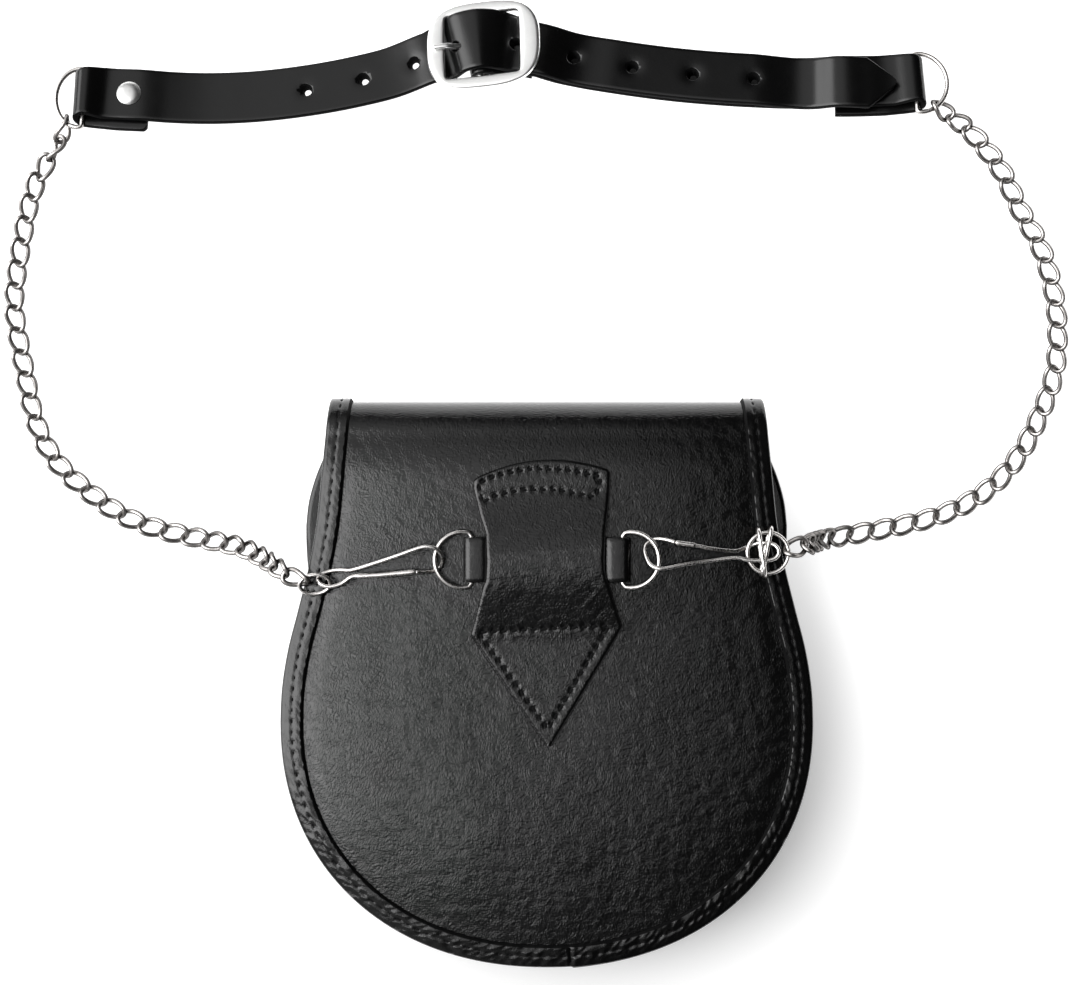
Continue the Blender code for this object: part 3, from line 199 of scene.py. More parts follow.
CLIP_LEFT = (
    (-40.9, -26.6, 38.6), (-52.0, -27.6, 38.0), (-58.0, -28.0, 37.7), (-61.9, -28.3, 37.5),
    (-65.4, -30.6, 37.2), (-69.0, -31.6, 37.1), (-72.0, -31.0, 36.8), (-73.4, -29.4, 35.7),
    (-72.5, -27.7, 34.5), (-69.2, -26.4, 34.3), (-65.6, -26.0, 35.2), (-62.0, -26.0, 36.4),
    (-54.0, -23.6, 38.2), (-46.0, -20.9, 39.7), (-38.8, -18.4, 40.5), (-35.6, -18.2, 40.6),
    (-33.2, -19.0, 40.2), (-31.7, -21.3, 38.7), (-31.6, -23.6, 37.0), (-32.8, -25.6, 36.1),
    (-35.2, -26.5, 36.2), (-38.0, -26.8, 37.3), (-40.2, -26.7, 38.4))
CLIP_RIGHT = (
    (47.0, -16.8, 39.0), (52.0, -17.5, 38.9), (54.0, -17.9, 38.8), (60.0, -19.0, 38.2),
    (66.8, -19.6, 36.2), (70.4, -18.5, 35.0), (73.8, -17.2, 35.9), (77.0, -16.9, 37.2),
    (80.0, -17.8, 38.2), (81.2, -20.0, 38.5), (80.0, -22.0, 38.5), (77.0, -22.8, 38.5),
    (73.6, -22.8, 38.5), (70.4, -22.6, 38.5), (66.8, -21.9, 38.5), (58.0, -22.9, 38.9),
    (50.0, -24.0, 39.8), (43.5, -25.3, 40.4), (40.7, -25.4, 40.5), (38.2, -24.2, 39.7),
    (36.8, -21.6, 38.0), (36.4, -18.8, 36.5), (37.6, -16.6, 35.9), (40.2, -15.6, 36.2),
    (43.4, -15.8, 37.6), (46.2, -16.6, 38.8))
CHAIN_LEFT = (                  # (x, y, height of the lowest point, roll of the links)
    (-163.2, 129.5, 4.4, 125), (-165.0, 122.2, 1.2, 95), (-169.6, 116.2, 0.3, 20),
    (-174.1, 109.9, 0.15, 0), (-177.3, 99.0, 0.15, 8), (-179.6, 88.0, 0.15, 0),
    (-181.4, 77.0, 0.15, 0), (-182.3, 66.0, 0.15, 8), (-180.9, 54.0, 0.15, 0),
    (-178.2, 40.0, 0.15, 0), (-175.6, 28.0, 0.15, 10), (-171.5, 16.5, 0.15, 0),
    (-165.0, 7.8, 0.15, 8), (-156.0, 0.0, 0.15, 0), (-146.5, -6.8, 0.15, 8),
    (-135.5, -11.8, 0.15, 0), (-122.3, -15.1, 0.15, 0), (-111.5, -17.0, 3.4, 0),
    (-101.0, -19.0, 10.2, 0), (-93.6, -22.2, 18.6, 5), (-88.4, -24.4, 27.2, 16),
    (-84.4, -27.0, 31.9, 29), (-77.2, -30.2, 32.6, 40))
CHAIN_RIGHT = (
    (138.1, 135.2, 4.2, -38), (143.8, 130.2, 2.0, -22), (150.4, 126.9, 0.4, -6),
    (156.0, 120.8, 0.15, 0), (162.7, 112.0, 0.15, 8), (168.6, 98.7, 0.15, 0),
    (176.0, 85.8, 0.15, 0), (180.3, 71.1, 0.15, 0), (181.9, 56.8, 0.15, 8),
    (180.8, 41.1, 0.15, 0), (175.5, 26.7, 0.15, 0), (168.9, 13.5, 0.15, 8),
    (159.3, 2.3, 0.15, 0), (147.0, -5.6, 0.15, 8), (135.5, -9.6, 0.15, 0),
    (125.0, -12.0, 0.15, 0), (112.5, -14.3, 0.15, 0), (104.0, -15.6, 3.0, 0),
    (98.8, -16.3, 9.8, 0), (95.6, -16.8, 17.6, 0), (93.6, -17.1, 25.4, 5),
    (90.2, -18.2, 31.6, 18), (83.6, -19.4, 34.0, 30))

# Soft light from the sky: (strength, its edges as (direction, dark from, bright to))
SKY_EDGES = (((0.0, -1.0, 0.0), -2.2, 1.3), ((0.0, 1.0, 0.0), -0.32, -0.19),
             ((0.0, 0.0, 1.0), 0.05, 0.50))
SKY = ((1.68, (((-0.96, -0.28, 0.0), -0.31, -0.08), ((-0.80, 0.60, 0.0), -0.24, -0.02),
               *SKY_EDGES)),
       (5.90, (((-0.88, -0.47, 0.0), 0.17, 0.31), *SKY_EDGES)),
       (0.45, (((-1.0, 0.0, 0.0), -0.15, 0.35), ((0.0, -1.0, 0.0), 0.26, 0.45),
               ((0.0, 0.0, 1.0), 0.05, 0.50))))
SKY_REST = 0.003
PAINTED_SHADOW_CENTRE = (3.6, -80.0, 0.0)  # centre of the floor's painted shadow: its painted glow is weakest round here

# Leather detail
STITCH_INSET = 4.3              # binding's stitch line, from the outer edge
STITCH_PITCH = 3.75
HANGER_PITCH = 3.3


# ---------------------------------------------------------------- numbers and curves

def hermite(t, start, end, slope_in, slope_out):
    """A cubic from start to end; its slopes are per whole span."""
    return ((2 * t**3 - 3 * t**2 + 1) * start + (t**3 - 2 * t**2 + t) * slope_in
            + (3 * t**2 - 2 * t**3) * end + (t**3 - t**2) * slope_out)


def smooth_table(table, at):
    """A smooth curve through a table's rows, read at `at` (a number or an array)."""
    x, y = np.array(sorted(row[:2] for row in table)).T
    slope = np.gradient(y, x)
    i = np.clip(np.searchsorted(x, at) - 1, 0, len(x) - 2)
    span = x[i + 1] - x[i]
    return hermite((at - x[i]) / span, y[i], y[i + 1], span * slope[i], span * slope[i + 1])


def straight_table(table, at):
    return np.interp(at, *np.array(sorted(row[:2] for row in table)).T)


def smooth_route(points, per_span=8):
    """Closely spaced points on a smooth curve through a list of points."""
    p = [Vector(point) for point in points]
    p = [2 * p[0] - p[1], *p, 2 * p[-1] - p[-2]]
    route = []
    for before, start, end, after in zip(p, p[1:], p[2:], p[3:]):
        route += interpolate_bezier(start, start + (end - before) / 6, end - (after - start) / 6,
                                    end, per_span + 1)[:-1]
    return [*route, p[-2]]


def ease(value):
    """0 to 1 with soft ends, for values clipped to 0..1."""
    value = np.clip(value, 0.0, 1.0)
    return value * value * (3 - 2 * value)


def unit(vectors):
    return vectors / np.maximum(np.linalg.norm(vectors, axis=-1, keepdims=True), 1e-12)


def signed_power(value, power):
    return np.sign(value) * np.abs(value) ** power


def turns(count):
    """Evenly spaced angles of a full turn."""
    return 2 * np.pi * np.arange(count) / count


def arc(angles, first, second):
    """Places round a circle or an ellipse with these two half axes."""
    return np.outer(np.cos(angles), first) + np.outer(np.sin(angles), second)


def turned(x, y, angle):
    c, s = math.cos(angle), math.sin(angle)
    return x * c - y * s, x * s + y * c


def halved(low, high, fits):
    """(low, high) closed in on the last value that fits."""
    for _ in range(24):
        middle = (low + high) / 2
        low, high = (middle, high) if fits(middle) else (low, middle)
    return low, high


def lengths_along(points, closed=False):
    steps = np.linalg.norm(np.diff(points, axis=0), axis=1)
    if closed:
        steps = np.append(steps, np.linalg.norm(points[0] - points[-1]))
    return np.concatenate([[0.0], np.cumsum(steps)])


def resample(columns, places, at):
    """Rows of `columns`, known at `places`, read at other places along the same line."""
    return np.stack([np.interp(at, places, column) for column in np.asarray(columns).T], axis=1)


def patchy(x, y, size, seed):
    """Smooth random heights, about -1 to 1, on a lattice of the given size."""
    table = np.random.default_rng(seed).uniform(-1, 1, (64, 64))
    x, y = np.asarray(x) / size, np.asarray(y) / size
    i, j = np.floor(x).astype(int), np.floor(y).astype(int)
    s, t = ease(x - i), ease(y - j)

    def at(a, b):
        return table[(i + a) % 64, (j + b) % 64]
    low = at(0, 0) * (1 - s) + at(1, 0) * s
    high = at(0, 1) * (1 - s) + at(1, 1) * s
    return low * (1 - t) + high * t


# ---------------------------------------------------------------- meshes

def to_model(points):
    """Layout points in millimetres, as points of the model in metres."""
    return (np.asarray(points, float) - (*LAYOUT_CENTRE, 0.0)) * MM


def mesh_piece(name, points, faces, finish, sharp=50.0):
    """A closed mesh with outward faces, from layout points in millimetres."""
    mesh = bpy.data.meshes.new(name)
    mesh.from_pydata(to_model(points).tolist(), [], [tuple(int(i) for i in f) for f in faces])
    shell = bmesh.new()
    shell.from_mesh(mesh)
    bmesh.ops.recalc_face_normals(shell, faces=shell.faces)
    shell.to_mesh(mesh)
    shell.free()
    mesh.shade_smooth()
    mesh.set_sharp_from_angle(angle=math.radians(sharp))
    mesh.materials.append(finish)
    piece = bpy.data.objects.new(name, mesh)
    bpy.context.scene.collection.objects.link(piece)
    return piece


def dress(piece, slot, *nodes):
    """The piece stands for these nodes and rides with them."""
    if nodes:
        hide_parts(*nodes)
    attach(piece, "root")


def strip_faces(near, far):
    """Faces between two closed loops of indexes, or between two stacks of them."""
    return np.stack([near, np.roll(near, -1, axis=-1), np.roll(far, -1, axis=-1), far],
                    axis=-1).reshape(-1, 4).tolist()


def band_faces(count, size, closed, start=0):
    """Faces between rings of `size` points that follow each other in a list."""
    near = start + np.arange(count * size).reshape(count, size)
    far = np.roll(near, -1, axis=0)
    return strip_faces(near, far) if closed else strip_faces(near[:-1], far[:-1])


def tipped_faces(count, size, start=0):
    """Faces of rings whose first and last tip follow them in the list."""
    faces = band_faces(count, size, False, start)
    for tip, first in ((count * size, start), (count * size + 1, start + (count - 1) * size)):
        faces += [(first + k, first + (k + 1) % size, start + tip) for k in range(size)]
    return faces


def sweep(name, rings, finish, closed=False, sharp=50.0, rough=()):
    """A solid through rings of points, shape (rings, points, 3).

    `rough` lists the faces of each band that are a cut edge of the leather.
    """
    count, size = rings.shape[:2]
    faces = band_faces(count, size, closed)
    if not closed:
        faces += [tuple(range(size)), tuple(range((count - 1) * size, count * size))]
    piece = mesh_piece(name, rings.reshape(-1, 3), faces, finish, sharp)
    if rough:
        number = np.arange(len(faces))
        is_cut = np.isin(number % size, list(rough)) | (number >= len(faces) - 2 * (not closed))
        rough_faces(piece, is_cut)
    return piece


def rough_faces(piece, chosen):
    """Gives the chosen faces the finish of cut leather."""
    piece.data.materials.append(CUT_LEATHER)
    piece.data.polygons.foreach_set("material_index", np.asarray(chosen, np.int32))


def grid_normals(grid):
    """Outward unit normals of a surface given as rows of points, left to right."""
    return unit(np.cross(np.gradient(grid, axis=0), np.gradient(grid, axis=1)))


def border(rows, columns):
    """Indexes (row, column) round a grid: up its left side, along its last row and back."""
    places = [(i, 0) for i in range(rows)]
    places += [(rows - 1, k) for k in range(1, columns - 1)]
    places += [(i, columns - 1) for i in range(rows - 1, -1, -1)]
    places += [(0, k) for k in range(columns - 2, 0, -1)]
    return np.array(places)


def rim_of(grid, normals):
    """(places, points, outward, face) round a grid, outward lying in the surface."""
    places = border(*grid.shape[:2])
    points = grid[places[:, 0], places[:, 1]]
    face = normals[places[:, 0], places[:, 1]]
    tangent = unit(np.roll(points, -1, axis=0) - np.roll(points, 1, axis=0))
    outward = unit(np.cross(tangent, face))
    return places, points, outward, unit(np.cross(outward, tangent))


def leather_sheet(name, grid, thickness, finish, bulge=0.35, rim_steps=5, outer=None):
    """Leather of even thickness behind the grid, with rounded cut edges.

    `outer` is the grid's detailed outer face, where it isn't the grid itself.
    """
    rows, columns = grid.shape[:2]
    normals = grid_normals(grid)
    face = grid if outer is None else outer
    places, points, outward, up = rim_of(grid, normals)
    corners = [face.reshape(-1, 3), (grid - normals * thickness).reshape(-1, 3)]
    for angle in math.pi * np.arange(1, rim_steps + 1) / (rim_steps + 1):
        level = -thickness * (1 - math.cos(angle)) / 2
        corners.append(points + up * level + outward * bulge * math.sin(angle))
    count = rows * columns
    index = np.arange(count).reshape(rows, columns)
    quads = np.stack([index[:-1, :-1], index[:-1, 1:], index[1:, 1:], index[1:, :-1]],
                     axis=-1).reshape(-1, 4)
    faces = quads.tolist() + (quads[:, ::-1] + count).tolist()
    edge = places[:, 0] * columns + places[:, 1]
    between = 2 * count + np.arange(rim_steps * len(edge)).reshape(rim_steps, -1)
    loops = [edge, *between, edge + count]
    for near, far in zip(loops, loops[1:]):
        faces += strip_faces(near, far)
    return mesh_piece(name, np.concatenate(corners), faces, finish)


def tube_rings(path, radius, sides=12, closed=False, power=1.0):
    """Rings of a round wire along a path, carried along without twist.

    A power below 1 gives a squarer section.
    """
    if closed:
        tangents = unit(np.roll(path, -1, axis=0) - np.roll(path, 1, axis=0))
    else:
        tangents = unit(np.gradient(path, axis=0))
    side = np.cross(tangents[0], (0.0, 0.0, 1.0))
    if np.linalg.norm(side) < 0.1:
        side = np.cross(tangents[0], (1.0, 0.0, 0.0))
    across = []
    for tangent in tangents:
        side = unit(side - tangent * side.dot(tangent))
        across.append(side)
    across = np.array(across)
    over = np.cross(tangents, across)
    angles = np.tile(turns(sides), (len(path), 1))
    if closed:                  # spread what the frame has turned by over the whole ring
        excess = math.atan2(across[-1].dot(over[0]), across[-1].dot(across[0]))
        angles = angles - excess * np.linspace(0.0, 1.0, len(path))[:, None]
    ring = (signed_power(np.cos(angles), power)[..., None] * across[:, None]
            + signed_power(np.sin(angles), power)[..., None] * over[:, None])
    return path[:, None] + np.broadcast_to(radius, len(path))[:, None, None] * ring


def wire_piece(name, path, radius, finish, closed=False, sides=12, power=1.0):
    """A bent wire; an open one has rounded ends."""
    path = np.asarray(path, float)
    radius = np.broadcast_to(radius, len(path))
    if not closed:
        angles = np.array((0.5, 1.0, 1.45))

        def rounded(end, inner):
            reach = np.outer(0.7 * radius[end] * np.sin(angles), unit(path[end] - path[inner]))
            return path[end] + reach, radius[end] * np.cos(angles)
        head, tail = rounded(0, 1), rounded(-1, -2)
        path = np.concatenate([head[0][::-1], path, tail[0]])
        radius = np.concatenate([head[1][::-1], radius, tail[1]])
    return sweep(name, tube_rings(path, radius, sides, closed, power), finish, closed, 60.0)


def nickel_wire(node, path, radius, closed=True):
    """A wire piece that stands for the node it is named after."""
    dress(wire_piece(node + "_wire", path, radius, NICKEL, closed), "nickel", node)


def stitches(name, centres, tangents, normals, length, width, height, around=8, along=6):
    """Short runs of thread, one ellipsoid each, half sunk in the leather."""
    number = np.arange(len(centres))[:, None]
    size = 1 + 0.12 * np.sin(number * 2.4)
    turn = 0.10 * np.sin(number * 1.7 + 0.4)
    across = unit(np.cross(normals, tangents))
    reach = (tangents * np.cos(turn) + across * np.sin(turn)) * length * size / 2
    across = across * np.cos(turn) - tangents * np.sin(turn)
    section = (np.cos(turns(around))[:, None] * across[:, None] * width / 2
               + np.sin(turns(around))[:, None] * normals[:, None] * height / 2)
    angles = (math.pi * np.arange(1, along) / along)[:, None, None]
    rings = (centres[:, None, None] - reach[:, None, None] * np.cos(angles)
             + np.sin(angles) ** 0.7 * section[:, None])
    points = np.concatenate([rings.reshape(len(centres), -1, 3), (centres - reach)[:, None],
                             (centres + reach)[:, None]], axis=1)
    faces = []
    for start in range(0, points.shape[0] * points.shape[1], points.shape[1]):
        faces += tipped_faces(along - 1, around, start)
    return mesh_piece(name, points.reshape(-1, 3), faces, THREAD, 80.0)


def pressed(points, normals, centres, depth, spread):
    """Points pressed in along their normals round each centre."""
    sunk = np.zeros(len(points))
    for centre in centres:
        distance = np.linalg.norm(points - centre, axis=1)
        near = distance < 4 * spread
        sunk[near] = np.maximum(sunk[near], depth * np.exp(-(distance[near] / spread) ** 2))
    return points - normals * sunk[:, None]


def cut(piece, *tools):
    """Cuts holes, and leaves the result in the piece's own mesh."""
    for tool in tools:
        modifier = piece.modifiers.new("cut", "BOOLEAN")
        modifier.operation = "DIFFERENCE"
        modifier.object = tool
    evaluated = piece.evaluated_get(bpy.context.evaluated_depsgraph_get())
    mesh = bpy.data.meshes.new_from_object(evaluated)
    mesh.name = piece.name
    piece.modifiers.clear()
    piece.data = mesh
    for tool in tools:
        bpy.data.objects.remove(tool)


# ---------------------------------------------------------------- materials

class Nodes:
    """A few shorthands for building the node tree of a material or a world."""

    def __init__(self, owner):
        owner.use_nodes = True
        self.owner, self.tree = owner, owner.node_tree

    def fill(self, node, **inputs):
        """Sets or links inputs, by name with _ for a space, or by number as _0, _1."""
        for key, value in inputs.items():
            socket = node.inputs[int(key[1:]) if key[0] == "_" else key.replace("_", " ")]
            if isinstance(value, bpy.types.NodeSocket):
                self.tree.links.new(value, socket)
            else:
                socket.default_value = value

    def add(self, kind, settings=(), **inputs):
        node = self.tree.nodes.new("ShaderNode" + kind)
        for key, value in dict(settings).items():
            setattr(node, key, value)
        self.fill(node, **inputs)
        return node

    def finish(self, **inputs):
        """The material, with these inputs of its shader."""
        self.fill(self.tree.nodes["Principled BSDF"], **inputs)
        return self.owner

    def millimetres(self):
        """Object coordinates in millimetres."""
        place = self.add("TexCoord").outputs["Object"]
        return self.add("Mapping", Vector=place, Scale=(1 / MM, 1 / MM, 1 / MM)).outputs[0]

    def noise(self, vector, scale, detail=1.0, roughness=0.5, output="Fac"):
        return self.add("TexNoise", Vector=vector, Scale=scale, Detail=detail,
                        Roughness=roughness).outputs[output]

    def math(self, operation, a, b):
        return self.add("Math", {"operation": operation}, _0=a, _1=b).outputs[0]

    def remap(self, value, low, high, to_low=0.0, to_high=1.0, **settings):
        return self.add("MapRange", settings, Value=value, From_Min=low, From_Max=high,
                        To_Min=to_low, To_Max=to_high).outputs["Result"]

    def bump(self, height, depth, **below):
        return self.add("Bump", Height=height, Distance=depth * MM, **below).outputs["Normal"]

    def blend(self, factor, a, b):
        """Mixes two colours, each an output or (red, green, blue)."""
        a, b = ((*colour, 1.0) if isinstance(colour, tuple) else colour for colour in (a, b))
        return self.add("Mix", {"data_type": "RGBA"}, _0=factor, _6=a, _7=b).outputs[2]


def leather_finish(name, dark, light, roughness, grain=1.0, depth=0.06):
    """Black leather: short curly creases, finer pores, and an uneven sheen."""
    n = Nodes(bpy.data.materials.new(name))
    place = n.millimetres()
    bent = n.add("VectorMath", {"operation": "MULTIPLY_ADD"},
                 _0=n.noise(place, 0.22 / grain, output="Color"),
                 _1=(5.0 * grain, 3.0 * grain, 0.0), _2=place).outputs[0]

    def creases(*stretch):
        return n.noise(n.add("Mapping", Vector=bent, Scale=stretch).outputs[0], 2.2 / grain)
    height = n.math("ADD", creases(1.0, 0.42, 1.0),
                    n.math("MULTIPLY", creases(0.45, 0.9, 1.0), 0.7))
    worn = n.noise(place, 0.045, 3.0, 0.6)
    shade = n.math("ADD", n.math("MULTIPLY", worn, 0.6), n.math("MULTIPLY", height, 0.4))
    sheen = n.noise(place, 0.08, 2.0)
    return n.finish(
        Base_Color=n.blend(n.remap(shade, 0.35, 0.75), dark, light),
        Roughness=n.remap(sheen, 0.3, 0.7, roughness - 0.02, roughness + 0.03),
        Normal=n.bump(n.noise(place, 3.2), 0.003, Normal=n.bump(height, depth)),
        Specular_IOR_Level=0.5)


def cut_finish():
    """Dyed, fibrous cut edges of the straps."""
    n = Nodes(bpy.data.materials.new("cut_leather_edge"))
    fibres = n.noise(n.millimetres(), 1.6, 3.0, 0.6)
    return n.finish(
        Base_Color=n.blend(fibres, (0.0015, 0.0015, 0.0016), (0.006, 0.006, 0.0062)),
        Roughness=n.remap(fibres, 0.3, 0.7, 0.60, 0.80), Normal=n.bump(fibres, 0.06),
        Specular_IOR_Level=0.08)


def thread_finish():
    n = Nodes(bpy.data.materials.new("black_thread"))
    twist = n.add("TexWave", {"wave_type": "BANDS", "bands_direction": "DIAGONAL"},
                  Vector=n.millimetres(), Scale=1.3, Distortion=0.6).outputs["Fac"]
    return n.finish(
        Base_Color=n.blend(twist, (0.0025, 0.0025, 0.0027), (0.008, 0.008, 0.0085)),
        Roughness=0.85, Normal=n.bump(twist, 0.12), Specular_IOR_Level=0.2)


def metal_finish(name, bright, dull, roughness, ripple=0.004, painted_side_shade=None, reach=(0.20, 0.62)):
    """Nickel plate: nearly even, with faint dull patches and fine polishing ripple.

    Given a side colour, the sides that face away from up take it as a painted shade, which stands in
    for the dark reflections on them; it fades out as the normal's upward share goes through `reach`.
    """
    n = Nodes(bpy.data.materials.new(name))
    place = n.millimetres()
    colour = n.blend(n.remap(n.noise(place, 0.35, 3.0, 0.6), 0.35, 0.75), bright, dull)
    # painted shade: the less a side of the wire faces up, the more it takes the given dark side
    # colour
    if painted_side_shade:
        facing = n.add("SeparateXYZ", Vector=n.add("TexCoord").outputs["Normal"]).outputs["Z"]
        colour = n.blend(n.remap(facing, *reach), painted_side_shade, colour)
    fine = n.noise(place, 2.2, 3.0, 0.6)
    return n.finish(Base_Color=colour, Normal=n.bump(fine, ripple), Metallic=1.0,
                    Roughness=n.remap(fine, 0.3, 0.7, roughness, roughness + 0.10))


def floor_finish():
    """White, with a painted glow that is weakest round the pouch, which paints the pouch's shadow
    there, and brighter further out and towards +Y.
    """
    n = Nodes(bpy.data.materials.new("white_floor"))
    place = n.millimetres()
    cloud = n.noise(place, 0.01, 2.0)
    y = n.add("SeparateXYZ", Vector=place).outputs["Y"]
    away = n.add("VectorMath", {"operation": "DISTANCE"}, _0=place,
                 _1=PAINTED_SHADOW_CENTRE).outputs["Value"]
    # painted glow: the floor's emission is low near the pouch, a painted shadow, and rises away from
    # it and towards +Y
    painted_glow = n.math("ADD", n.remap(away, 84.0, 130.0, 0.0, 0.36),
                  n.math("ADD", n.remap(y, -150.0, -70.0, 0.15, 0.46),
                         n.remap(y, -70.0, 30.0, 0.0, 0.34)))
    return n.finish(Base_Color=n.blend(cloud, (0.88, 0.88, 0.88), (0.91, 0.91, 0.91)),
                    Roughness=0.8, Specular_IOR_Level=0.1,
                    Emission_Color=(1.0, 1.0, 1.0, 1.0), Emission_Strength=painted_glow)


COVER_LEATHER = leather_finish("creased_black_leather", (0.0022, 0.0022, 0.0023),
                               (0.0045, 0.0045, 0.0046), 0.15, depth=0.105)
BINDING_LEATHER = leather_finish("black_binding_leather", (0.002, 0.002, 0.0021),
                                 (0.004, 0.004, 0.0041), 0.18, grain=0.7, depth=0.04)
STRAP_LEATHER = leather_finish("smooth_black_strap", (0.002, 0.002, 0.0021),
                               (0.0035, 0.0035, 0.0036), 0.20, grain=0.6, depth=0.012)
CUT_LEATHER = cut_finish()
THREAD = thread_finish()
# both nickels carry a painted shade on their wires' sides, dark where they face away from up
NICKEL = metal_finish("bright_nickel_wire", (0.96, 0.93, 0.91), (0.82, 0.79, 0.76), 0.22,
                      painted_side_shade=(0.10, 0.085, 0.075))
CHAIN_NICKEL = metal_finish("nickel_chain_wire", (0.74, 0.71, 0.69), (0.58, 0.55, 0.53), 0.33,
                            painted_side_shade=(0.024, 0.020, 0.017), reach=(0.48, 0.90))
POLISHED = metal_finish("polished_nickel_plate", (0.97, 0.97, 0.96), (0.92, 0.92, 0.91), 0.29,
                        0.002)


# ---------------------------------------------------------------- pouch

def pouch(points):
    """Points given from the pouch's axis and widest line, in the layout."""
    return np.asarray(points, float) + (POUCH_AXIS_X, POUCH_WIDEST_Y, 0.0)


def end_radius(x, y, half_width, drop, n):
    """1 on the outline of a rounded end, which hangs down from y = 0."""
    return ((np.abs(x) / half_width) ** n + (np.maximum(-y, 0.0) / drop) ** n) ** (1 / n)


def back_radius(x, y):
    """0 in the middle of the back panel and 1 on its edge."""
    above = np.abs(x) / smooth_table(BACK_SIDE, np.clip(y, 0.0, BACK_TOP_Y))
    return np.where(y >= 0, above, end_radius(x, y, *BACK_END))


def back_z(x, y):
    return BACK_EDGE_Z + BACK_CROWN * (1 - back_radius(x, y) ** BACK_DOME)


def waves(x, y):
    """The worn leather's slight unevenness, which fades out at the panel's edge."""
    fade = 1 - np.clip(back_radius(x, y), 0.0, 1.0) ** 4
    return fade * (0.16 * patchy(x, y, 24.0, 3) + 0.07 * patchy(x, y, 11.0, 4))


def level_rows(halves, ys, columns):
    """Rows of (x, y), each at one y and as wide as its own half."""
    return [np.column_stack([columns * half, np.full(len(columns), y)])
            for half, y in zip(halves, ys)]


def side_rows(side, ys, columns, inset=0.0):
    return level_rows(smooth_table(side, ys) - inset, ys, columns)


def rounded_rows(shares, columns, half_width, drop, roundness):
    """Rows of (x, y) down a rounded end; the last one follows the outline itself."""
    angles = shares * math.pi / 2
    halves = half_width * np.cos(angles) ** (2 / roundness)
    rows = level_rows(halves, -drop * np.sin(angles) ** (2 / roundness), columns)
    x = columns * halves[-1]
    y = -drop * (1 - (np.abs(x) / half_width) ** roundness) ** (1 / roundness)
    last = np.column_stack([x, y])
    last[[0, -1]] = rows[-1][[0, -1]]
    return [*rows[:-1], last]


def raised(rows, height):
    """Rows of (x, y) as a grid of points on a surface of the given height."""
    rows = np.array(rows)
    return np.dstack([rows, height(rows[..., 0], rows[..., 1])])


def flap_z(x, y):
    above = np.abs(x) / smooth_table(FLAP_SIDE, np.clip(y, FLAP_WIDEST_Y, ROLL_START_Y))
    below = end_radius(x, y - FLAP_WIDEST_Y, *FLAP_END)
    return FLAP_RIM_Z * ease((np.where(y >= FLAP_WIDEST_Y, above, below) - 0.55) / 0.3)


def cover_grid(columns):
    """Outer face of flap, rolled top and back panel, as rows from the flap's lowest edge.

    With it come the numbers of the flap's rows and of the roll's.
    """
    shares = np.linspace(0.0, LAST_SHARE, 44)
    back = side_rows(BACK_SIDE, np.linspace(ROLL_START_Y, 2.0, 38), columns)
    back = raised(back + rounded_rows(shares, columns, *BACK_END), back_z)
    flap = side_rows(FLAP_SIDE, np.linspace(ROLL_START_Y, FLAP_WIDEST_Y + 2.0, 12), columns)
    flap += [row + (0.0, FLAP_WIDEST_Y) for row in rounded_rows(shares, columns, *FLAP_END)]
    flap = raised(flap[::-1], flap_z)
    low, high = flap[-1], back[0]
    roll = []
    for angle in np.linspace(0.0, math.pi, 31)[1:-1]:
        y = low[:, 1] + ROLL_REACH * math.sin(angle)
        wider = (low[-1, 0] - high[-1, 0]) * max(math.cos(angle), 0.0) ** 2
        z = (low[:, 2] + high[:, 2]) / 2 - (high[:, 2] - low[:, 2]) / 2 * math.cos(angle)
        roll.append(np.column_stack([columns * (smooth_table(BACK_SIDE, y) + wider), y, z]))
    for row in roll[len(roll) // 2:] + list(back):
        row[:, 2] -= smooth_table(ROLL_SETTLE, np.clip(row[:, 1], 0.0, BACK_TOP_Y))
    return np.concatenate([flap, roll, back]), len(flap), len(roll)


def make_cover():
    """The one leather that is flap, rolled top and back panel."""
    columns = np.linspace(-1.0, 1.0, 97)
    grid, flap_count, roll_count = cover_grid(columns)
    normals = grid_normals(grid)
    on_back = ease((np.arange(len(grid)) - flap_count - roll_count) / 6.0)[:, None]
    height = waves(grid[..., 0], grid[..., 1]) * on_back
    height -= 0.25 * ease((np.abs(columns)[None, :] - 0.86) / 0.05) * on_back
    outer = grid + normals * height[..., None]
    dress(leather_sheet("cover_leather", pouch(grid), LEATHER, COVER_LEATHER,
                        outer=pouch(outer)), "leather", "back_and_flap")


